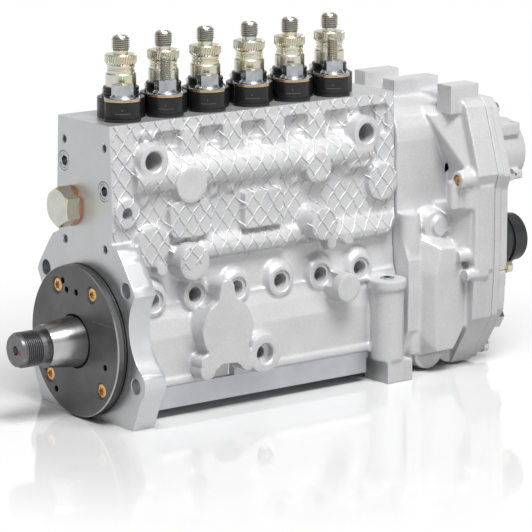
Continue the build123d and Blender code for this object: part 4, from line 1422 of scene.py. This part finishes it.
@dataclass
class DriveEnd:
    """The shaft's threaded end, the end cover with its screws, and the case's plugs."""

    finishes: FinishSet
    tip: float = -56.0
    undercut: float = -37.3
    thread_start: float = -54.6
    thread_end: float = -38.5
    thread_root: float = 11.05
    thread_crest: float = 12.0
    thread_pitch: float = 1.5
    plug_head: float = -12.0

    def shaft(self) -> None:
        """Makes the camshaft with its thread, painted shade on its threaded end, a black disc of
        painted shade for the centre hole, and a paint spot.
        """
        piece = copy_node("camshaft", "camshaft_threaded")
        for v in piece.data.vertices:
            x, reach = v.co.x / MM, math.hypot(v.co.y, v.co.z) / MM
            if self.tip + 1.05 < x < self.undercut and abs(reach - self.thread_crest) < 0.2:
                v.co.y *= self.thread_root / reach
                v.co.z *= self.thread_root / reach
            if x < self.tip + 0.1:
                v.co.x = (self.tip + 0.06) * MM
        shape = Shape().thread(
            Axis.X, self.thread_start, self.thread_end, (0, 0), self.thread_root + 0.05,
            self.thread_crest, self.thread_pitch, 48,
        )
        absorb(piece, shape)
        # Painted shade: the threaded end and the faces that face forward get the dark steel
        for face in piece.data.polygons:
            ahead = face.center.x < (self.undercut + 0.1) * MM or (
                face.normal.x < -0.4 and face.center.x < -30 * MM
            )
            face.material_index = 1 if ahead else 0
        # The black disc on the end face is painted shade for the centre hole; the red disc is a
        # paint spot
        front, back = self.tip + 0.02, self.tip + 0.2
        spots = Shape().rod(Axis.X, front, back, (0.0, 0.0), 2.3, sides=32).mark(2)
        spots.rod(Axis.X, front, back, (-4.6, -0.6), 1.7, sides=24).mark(3)
        marks = spots.piece("shaft_end_marks")
        shade(piece, 30.0)
        steel, dark = self.finishes.polished, self.finishes.painted_shade_and_marks
        place(piece, "camshaft", Slot.MACHINED, [steel, dark], ("camshaft",))
        black, red = self.finishes.by_slot[Slot.BLACK], self.finishes.paint
        place(marks, "camshaft", Slot.MACHINED, [steel, dark, black, red])

    def cover(self) -> None:
        """Makes the end cover with its two thin grooves, a painted highlight on its rim chamfer
        and land, and a scribed line.
        """
        piece = copy_node("bearing_end_cover", "end_cover_turned")
        land = Shape().turned(
            Axis.X, [(48.5, -4.05), (50.9, -4.05), (51.3, -3.7), (51.3, -2.6), (50.9, -2.25),
                     (48.5, -2.25)], (0, 0), 96,
        )
        absorb(piece, land)
        # Painted highlight: the rim chamfer and the land between the grooves get the lighter steel
        for face in piece.data.polygons:
            spot = face.center / MM
            reach = math.hypot(spot.y, spot.z)
            edge = reach > 50.55 and (-9.0 < spot.x < -8.35 or -4.1 < spot.x < -2.2)
            face.material_index = 1 if edge else 0
        line = Shape().box((-9.26, -47.5, 17.2), (-9.1, -21.5, 17.5)).piece("cover_scribed_line")
        shade(piece, 30.0)
        dull, rim_highlight_and_scribe = self.finishes.by_slot[Slot.PHOSPHATED], self.finishes.rim_highlight_and_scribe
        place(piece, "case", Slot.PHOSPHATED, [dull, rim_highlight_and_scribe], ("bearing_end_cover",))
        place(line, "case", Slot.PHOSPHATED, [rim_highlight_and_scribe])

    def screws(self) -> None:
        """Makes the cover's gold screws with a six lobed recess."""
        shape = Shape()
        for at in COVER_SCREWS:
            shape.turned(
                Axis.X, [(0, -8.5), (3.5, -8.5), (4.5, -8.15), (4.9, -7.6), (2.5, -5.75),
                         (2.5, 9), (0, 9)], at, 40,
            )
        piece = shape.piece("cover_screws_six_lobed")
        recess = Shape()
        for at in COVER_SCREWS:
            levels = [
                [(math.tau * k / 48, 2.5 + 0.45 * math.cos(math.tau * k / 8), x)
                 for k in range(48)] for x in (-9.5, -7.0)
            ]
            recess.lofted(Axis.X, at, levels)
        combine(piece, recess, Way.CUT)
        shade(piece, 34.0)
        self.finishes.place_plain(piece, Slot.BRASS, "end_cover_screws")

    def plugs(self) -> None:
        """Makes the hexagon plug and the small socket plugs."""
        head = self.plug_head
        plug = Shape().hexagon(Axis.X, -1.5, head, RACK_AXIS, 24.0, 30.0, 11.9).mark(0)
        plug.rod(Axis.X, -1.6, 9.9, RACK_AXIS, 8.0).mark(0)
        disc = [(0, head - 0.01), (11.2, head - 0.01), (11.2, head + 0.4), (0, head + 0.4)]
        plug.turned(Axis.X, disc, RACK_AXIS, 64).mark(1)
        piece = plug.piece("rack_plug_turned")
        combine(piece, Shape().rod(Axis.X, -8.2, 11, RACK_AXIS, 5.8), Way.CUT)
        shade(piece, 26.0)
        zinc, face = self.finishes.by_slot[Slot.ZINC], self.finishes.turned_face
        place(piece, "case", Slot.ZINC, [zinc, face], ("rack_plug",))
        small = Shape()
        for at in GALLERIES:
            small.turned(Axis.X, [(0, 6.9), (6.9, 6.9), (6.9, 0.4), (6.4, 0.02), (5.2, 0.02),
                                  (4.8, 0.5), (0, 0.5)], at, 40)
        for at in REAR_FEET:
            small.turned(Axis.Z, [(0, 16.2), (4.95, 16.2), (4.95, 20.9), (4.3, 21.5), (0, 21.5)],
                         at, 32)
        piece = small.piece("socket_plugs_turned")
        cut = Shape()
        for at in GALLERIES:
            cut.hexagon(Axis.X, 5.0, -1.0, at, 6.4, 12.0)
        for at in REAR_FEET:
            cut.hexagon(Axis.Z, 18.0, 23.0, at, 5.0, 10.0)
        combine(piece, cut, Way.CUT)
        shade(piece, 30.0)
        row = next(r for r in frame["record"]["subparts"] if r["node"] == "socket_plugs")
        self.finishes.place_plain(piece, Slot(row["material_slot"]), "socket_plugs")

    def build(self) -> None:
        """Builds all the pieces."""
        self.shaft()
        self.cover()
        self.screws()
        self.plugs()


@dataclass
class GovernorEnd:
    """The rear housing, its cover and the actuator, as castings with soft edges."""

    finishes: FinishSet
    neck: tuple[tuple[float, float], ...] = (
        (-33, 49), (-33, 112), (-31.6, 121), (-28, 128.5), (-22, 134), (-14, 137.4), (0, 138.2),
        (14, 137.4), (22, 134), (28, 128.5), (31.6, 121), (33, 112), (33, 49), (41, 42), (46, 30),
        (47, 10), (46, -20), (36, -47), (-36, -47), (-46, -20), (-47, 10), (-46, 30), (-41, 42),
    )
    rim: tuple[tuple[float, float], ...] = (
        (-53, 134), (-46, 141), (46, 141), (53, 134), (68, 88), (64.5, 78), (64.5, 20),
        (62, -15), (40, -50), (-40, -50), (-62, -15), (-64.5, 20), (-64.5, 78), (-68, 88),
    )
    cover_bolts: tuple[tuple[float, float], ...] = (
        (-41.5, 129), (41.5, 129), (-59, 84), (59, 84), (-58.5, 18.3), (58.5, 18.3),
        (-34, -43.5), (34, -43.5),
    )
    lugs: tuple[tuple[tuple[float, float, float], tuple[float, float, float]], ...] = (
        ((275, -48, 130), (300, -33, 150)), ((260, -4, 128), (300, 9, 150)),
        ((269, 40, 128), (300, 52, 150)),
    )
    lug_screw: tuple[float, float] = (-58.5, 85.4)
    front: float = 239.0
    back: float = 302.0
    wall: float = 5.2
    middle_z: float = 42.0

    def room(self) -> list[tuple[float, float]]:
        """The neck's outline moved inwards by the wall."""
        wall, middle = self.wall, self.middle_z
        return [
            (y - math.copysign(min(wall, abs(y)), y),
             z - math.copysign(wall, z - middle) if abs(z - middle) > wall else z)
            for y, z in self.neck
        ]

    def housing(self) -> None:
        """Makes the rear housing."""
        shape = Shape().prism(Axis.X, list(self.neck), 239.5, 290)
        shape.prism(Axis.X, list(self.rim), 284.5, 303.5)
        for side in (-1, 1):
            shape.hull([
                (268, side * 31, 128), (270, side * 32.6, 122), (280, side * 45, 106),
                (283.5, side * 60, 88), (286, side * 62, 80), (290, side * 20, 80),
                (280, side * 38, 131), (290, side * 52.5, 131), (300, side * 53, 134),
                (300, side * 68, 88), (300, side * 63, 80),
                (268, side * 20, 134), (300, side * 20, 138),
            ])
        for low, high in self.lugs:
            shape.box(low, high)
        shape.rod(Axis.Y, -44.2, -30, (266.5, 51.6), 10.6, 13.0)
        shape.rod(Axis.Y, -47.0, -40, (268.6, 51.6), 7.0, 7.6)
        face = [(261, -56, 37.8), (274, -56, 37.2), (282.5, -56, 19), (283, -56, -19.8),
                (273.2, -56, -35), (258, -56, -35.4), (256.8, -56, -10.7), (256.4, -56, 18.6)]
        foot = [(250, -40, 46), (258, -40, 47.5), (281, -40, 43), (288, -40, 20),
                (288, -40, -22), (277, -40, -41), (250, -40, -41), (246.5, -41, -17),
                (245.5, -41, 20)]
        shape.hull(face + foot)
        shape.rod(Axis.Z, 2, 62, (247.5, -36.5), 9.4, 8.0)
        shape.rod(Axis.Z, -38, 4, (249.0, -37.5), 7.0, 9.4)
        shape.rod(Axis.X, 272.5, 290, self.lug_screw, 6.4, 8.0)
        shape.rod(Axis.Z, 64.5, 84, (273.8, -53.5), 4.6)
        shape.rod(Axis.Z, 64.5, 84, (283.5, -57.0), 6.2)
        shape.rod(Axis.X, 274, 294, (-57.0, 31.0), 4.4, 5.4)
        shape.rod(Axis.X, 278, 296, (-61.0, 17.5), 4.2, 5.6)
        shape.rod(Axis.Y, -42, 42, (262, -38), 13.0, sides=56)
        shape.rod(Axis.Y, -38, 38, (286, -36.5), 14.0, sides=56)
        shape.box((288, -66.2, 20), (300, -60, 80))
        shape.hull([(x, y, z) for z in (34, 66) for x, y in
                    ((272, -31), (281, -50), (283.5, -61), (292, -62), (292, -20), (272, -20))])
        piece = shape.piece("governor_housing_casting")
        cast_skin(piece, 1.0, 3, 0.4)
        combine(piece, Shape().box((self.front, -80, -60), (self.back, 80, 160)), Way.CROSS)
        combine(piece, Shape().prism(Axis.X, self.room(), 245, 290), Way.CUT)
        wide = [(-40, 128), (40, 128), (58, 88), (56, 20), (50, -12), (32, -41), (-32, -41),
                (-50, -12), (-56, 20), (-58, 88)]
        combine(piece, Shape().prism(Axis.X, wide, 288.5, 306), Way.CUT)
        seats = Shape().rod(Axis.X, 238, 246, (0, 0), 20.0).rod(Axis.X, 238, 246, RACK_AXIS, 7.0)
        seats.rod(Axis.X, 282.5, 303, ARMATURE_AXIS, 13.4)
        for at in CASE_SCREWS:
            seats.rod(Axis.X, 238, 246, at, 3.0, sides=24)
        for at in self.cover_bolts:
            seats.rod(Axis.X, 291, 303, at, 2.5, sides=24)
        seats.rod(Axis.X, 271, 276.5, self.lug_screw, 3.9, sides=28)
        combine(piece, seats, Way.CUT)
        shade(piece, 34.0)
        self.finishes.place_plain(piece, Slot.CAST, "governor_housing")
        screw = Shape().turned(
            Axis.X, [(0, 275.0), (1.2, 274.6), (1.4, 273.6), (2.6, 273.4), (3.2, 273.9),
                     (3.2, 277), (0, 277)], self.lug_screw, 28,
        ).piece("lug_screw")
        shade(screw, 34.0)
        self.finishes.place_plain(screw, Slot.BRASS)

    def cover(self) -> None:
        """Makes the cover with the soft edges of a casting."""
        piece = copy_node("governor_cover", "governor_cover_casting")
        cast_skin(piece, 0.9, 4, 0.35)
        shade(piece, 40.0)
        self.finishes.place_plain(piece, Slot.CAST, "governor_cover")

    def actuator(self) -> None:
        """Makes the actuator with its two long ears and a dished end."""
        piece = copy_node("actuator_housing", "actuator_casting")
        extra = Shape().rod(Axis.X, 316.8, 345.8, ARMATURE_AXIS, 22.9, sides=72)
        extra.box((317.2, -45.5, 108.5), (341.5, -33.5, 117.6))
        extra.box((317.2, -49.5, 77.8), (341, -38, 84.2))
        extra.box((317.2, -33, 112), (325, -23, 123))
        extra.rod(Axis.X, 317.2, 327, (-33, 122), 6.3)
        absorb(piece, extra)
        cast_skin(piece, 0.8, 4, 0.35)
        cut = Shape().rod(Axis.X, 310, 344.2, ARMATURE_AXIS, 20.0, sides=64)
        cut.rod(Axis.Z, 112, 122, (337.8, -40), 1.5, sides=20)
        cut.rod(Axis.Y, -54, -45, (334, 81.0), 1.5, sides=20)
        cut.box((300, -90, 0), (317, 60, 160))
        for at in ((7, 95), (-35, 67), (-33, 122)):
            cut.rod(Axis.X, 316, 326, at, 2.5, sides=24)
        combine(piece, cut, Way.CUT)
        shade(piece, 36.0)
        self.finishes.place_plain(piece, Slot.CAST, "actuator_housing")

    def build(self) -> None:
        """Builds all the pieces."""
        self.housing()
        self.cover()
        self.actuator()


@dataclass
class CarriedNodes:
    """The frame's own solids, kept where they are and given their finishes."""

    finishes: FinishSet

    def dress(self) -> int:
        """Dresses every node by the slot that the record gives it.

        Returns:
            How many nodes were dressed.
        """
        count = 0
        for row in frame["record"]["subparts"]:
            node = frame["nodes"].get(row["node"])
            if node is not None:
                self.finishes.dress(node, Slot(row["material_slot"]))
                count += 1
        return count


@dataclass
class Studio:
    """Floor, pale surroundings, soft lamps and the photograph's camera."""

    target: tuple[float, float, float] = (0.150, -0.00054, 0.03054)
    azimuth: float = -37.046
    elevation: float = 12.108
    distance: float = 2.386
    lens: float = 234.0
    middle_x: float = 0.15
    floor_z: float = -0.0521
    fill: float = 0.13
    floor_lit: float = 0.12
    floor_seen: float = 0.95
    floor_fade: tuple[float, float] = (0.20, 0.40)

    def camera(self) -> None:
        """Sets the camera at the photograph's view."""
        a, e = math.radians(self.azimuth), math.radians(self.elevation)
        back = Vector((math.sin(a) * math.cos(e), -math.cos(a) * math.cos(e), math.sin(e)))
        data = bpy.data.cameras.new("camera")
        data.lens = self.lens
        data.sensor_width = 36.0
        data.clip_start, data.clip_end = 0.05, 50.0
        camera = linked("camera", data)
        camera.location = Vector(self.target) + back * self.distance
        camera.rotation_euler = (-back).to_track_quat("-Z", "Y").to_euler()
        bpy.context.scene.camera = camera

    def lamp(
        self,
        name: str,
        place: tuple[float, float, float],
        size: tuple[float, float],
        watts: float,
    ) -> None:
        """Adds a soft rectangular lamp that faces the pump.

        Args:
            name: The lamp's name.
            place: Where it stands, in metres.
            size: Its width and height in metres.
            watts: Its power.
        """
        data = bpy.data.lights.new(name, "AREA")
        data.shape = "RECTANGLE"
        data.size, data.size_y = size
        data.energy = watts
        lamp = linked(name, data)
        lamp.location = place
        aim = Vector((self.middle_x, 0.0, 0.05)) - Vector(place)
        lamp.rotation_euler = aim.to_track_quat("-Z", "Y").to_euler()

    def world(self) -> None:
        """Sets surroundings that light dimly but look white, with a grey band, in gloss."""
        world = bpy.data.worlds.new("studio")
        world.use_nodes = True
        tree = world.node_tree
        tree.nodes.clear()
        output = tree.nodes.new("ShaderNodeOutputWorld")
        dim = tree.nodes.new("ShaderNodeBackground")
        dim.inputs["Color"].default_value = (1.0, 1.0, 1.0, 1.0)
        dim.inputs["Strength"].default_value = self.fill
        pale = tree.nodes.new("ShaderNodeBackground")
        pale.inputs["Strength"].default_value = 1.0
        coord = tree.nodes.new("ShaderNodeTexCoord")
        split = tree.nodes.new("ShaderNodeSeparateXYZ")
        tree.links.new(coord.outputs["Generated"], split.inputs["Vector"])
        band = tree.nodes.new("ShaderNodeValToRGB")
        band.color_ramp.elements[0].position = 0.28
        band.color_ramp.elements[0].color = (1.0, 1.0, 1.0, 1.0)
        band.color_ramp.elements[1].position = 0.9
        band.color_ramp.elements[1].color = (0.75, 0.75, 0.75, 1.0)
        for spot, tone in ((0.42, 0.28), (0.66, 0.25)):
            element = band.color_ramp.elements.new(spot)
            element.color = (tone, tone, tone, 1.0)
        tree.links.new(split.outputs["Z"], band.inputs["Fac"])
        tree.links.new(band.outputs["Color"], pale.inputs["Color"])
        seen = self.seen_directly(tree)
        mix = tree.nodes.new("ShaderNodeMixShader")
        tree.links.new(seen, mix.inputs["Fac"])
        tree.links.new(dim.outputs["Background"], mix.inputs[1])
        tree.links.new(pale.outputs["Background"], mix.inputs[2])
        tree.links.new(mix.outputs["Shader"], output.inputs["Surface"])
        bpy.context.scene.world = world

    @staticmethod
    def seen_directly(tree: bpy.types.NodeTree) -> bpy.types.NodeSocket:
        """Tells the rays of the camera, of gloss and of glass from the rest.

        Args:
            tree: The node tree that gets the nodes.

        Returns:
            The socket that is 1 for those rays.
        """
        path = tree.nodes.new("ShaderNodeLightPath")
        either = path.outputs["Is Camera Ray"]
        for name in ("Is Glossy Ray", "Is Transmission Ray"):
            most = tree.nodes.new("ShaderNodeMath")
            most.operation = "MAXIMUM"
            tree.links.new(either, most.inputs[0])
            tree.links.new(path.outputs[name], most.inputs[1])
            either = most.outputs["Value"]
        return either

    def sun(
        self, name: str, toward: tuple[float, float, float], strength: float, soft: float
    ) -> None:
        """Adds a soft distant lamp.

        Args:
            name: The lamp's name.
            toward: The direction that it stands in.
            strength: Its strength.
            soft: The angle that it fills, in degrees.
        """
        data = bpy.data.lights.new(name, "SUN")
        data.energy, data.angle = strength, math.radians(soft)
        lamp = linked(name, data)
        lamp.rotation_euler = (-Vector(toward)).to_track_quat("-Z", "Y").to_euler()

    def floor(self) -> None:
        """Lays a wide glossy white floor under the pump."""
        bm = bmesh.new()
        bmesh.ops.create_grid(bm, x_segments=1, y_segments=1, size=6.0)
        bmesh.ops.translate(bm, verts=bm.verts, vec=(self.middle_x, 0.0, self.floor_z))
        mesh = bpy.data.meshes.new("floor")
        bm.to_mesh(mesh)
        bm.free()
        floor = linked("floor", mesh)
        sheet = NodeSheet("white_floor")
        tone = sheet.tree.nodes.new("ShaderNodeMix")
        tone.data_type = "RGBA"
        tone.inputs["A"].default_value = (self.floor_lit,) * 3 + (1.0,)
        tone.inputs["B"].default_value = (self.floor_seen,) * 3 + (1.0,)
        sheet.tree.links.new(self.seen_directly(sheet.tree), tone.inputs["Factor"])
        sheet.tree.links.new(tone.outputs["Result"], sheet.shader.inputs["Base Color"])
        sheet.shader.inputs["Roughness"].default_value = 0.07
        sheet.shader.inputs["IOR"].default_value = 2.2
        glow = sheet.tree.nodes.new("ShaderNodeEmission")
        glow.inputs["Color"].default_value = (1.0, 1.0, 1.0, 1.0)
        away = sheet.tree.nodes.new("ShaderNodeVectorMath")
        away.operation = "DISTANCE"
        away.inputs[1].default_value = (self.middle_x, 0.0, self.floor_z)
        sheet.join(sheet.place, away.inputs[0])
        fade = sheet.tree.nodes.new("ShaderNodeMapRange")
        fade.interpolation_type = "SMOOTHSTEP"
        fade.inputs["From Min"].default_value = self.floor_fade[0]
        fade.inputs["From Max"].default_value = self.floor_fade[1]
        sheet.join(away.outputs["Value"], fade.inputs["Value"])
        both = sheet.tree.nodes.new("ShaderNodeMath")
        both.operation = "MULTIPLY"
        sheet.join(fade.outputs["Result"], both.inputs[0])
        sheet.join(self.seen_directly(sheet.tree), both.inputs[1])
        blend = sheet.tree.nodes.new("ShaderNodeMixShader")
        sheet.join(both.outputs["Value"], blend.inputs["Fac"])
        sheet.join(sheet.shader.outputs["BSDF"], blend.inputs[1])
        sheet.join(glow.outputs["Emission"], blend.inputs[2])
        sheet.join(blend.outputs["Shader"], sheet.output.inputs["Surface"])
        mesh.materials.append(sheet.material)

    def build(self) -> None:
        """Builds the whole studio."""
        bpy.context.scene.view_settings.view_transform = "Standard"
        self.camera()
        self.world()
        self.floor()
        self.sun("sky", (-0.10, -0.46, 0.90), 1.72, 26.0)
        self.lamp("key", (0.10, -0.42, 0.74), (0.55, 0.30), 3.9)
        self.lamp("side", (0.75, -1.35, 0.95), (0.3, 0.9), 1.9)


def main() -> None:
    """Builds the pump's looks piece by piece."""
    logging.basicConfig(level=logging.INFO, format="%(name)s %(message)s")
    Studio().build()
    log.info("studio ready")
    finishes = FinishSet()
    log.info("nodes dressed: %d", CarriedNodes(finishes).dress())
    casting = PumpCasting(finishes).build()
    ReliefNet(finishes, casting).build()
    ElementHeads(finishes).build()
    DriveEnd(finishes).build()
    GovernorEnd(finishes).build()


if __name__ == "__main__":
    main()
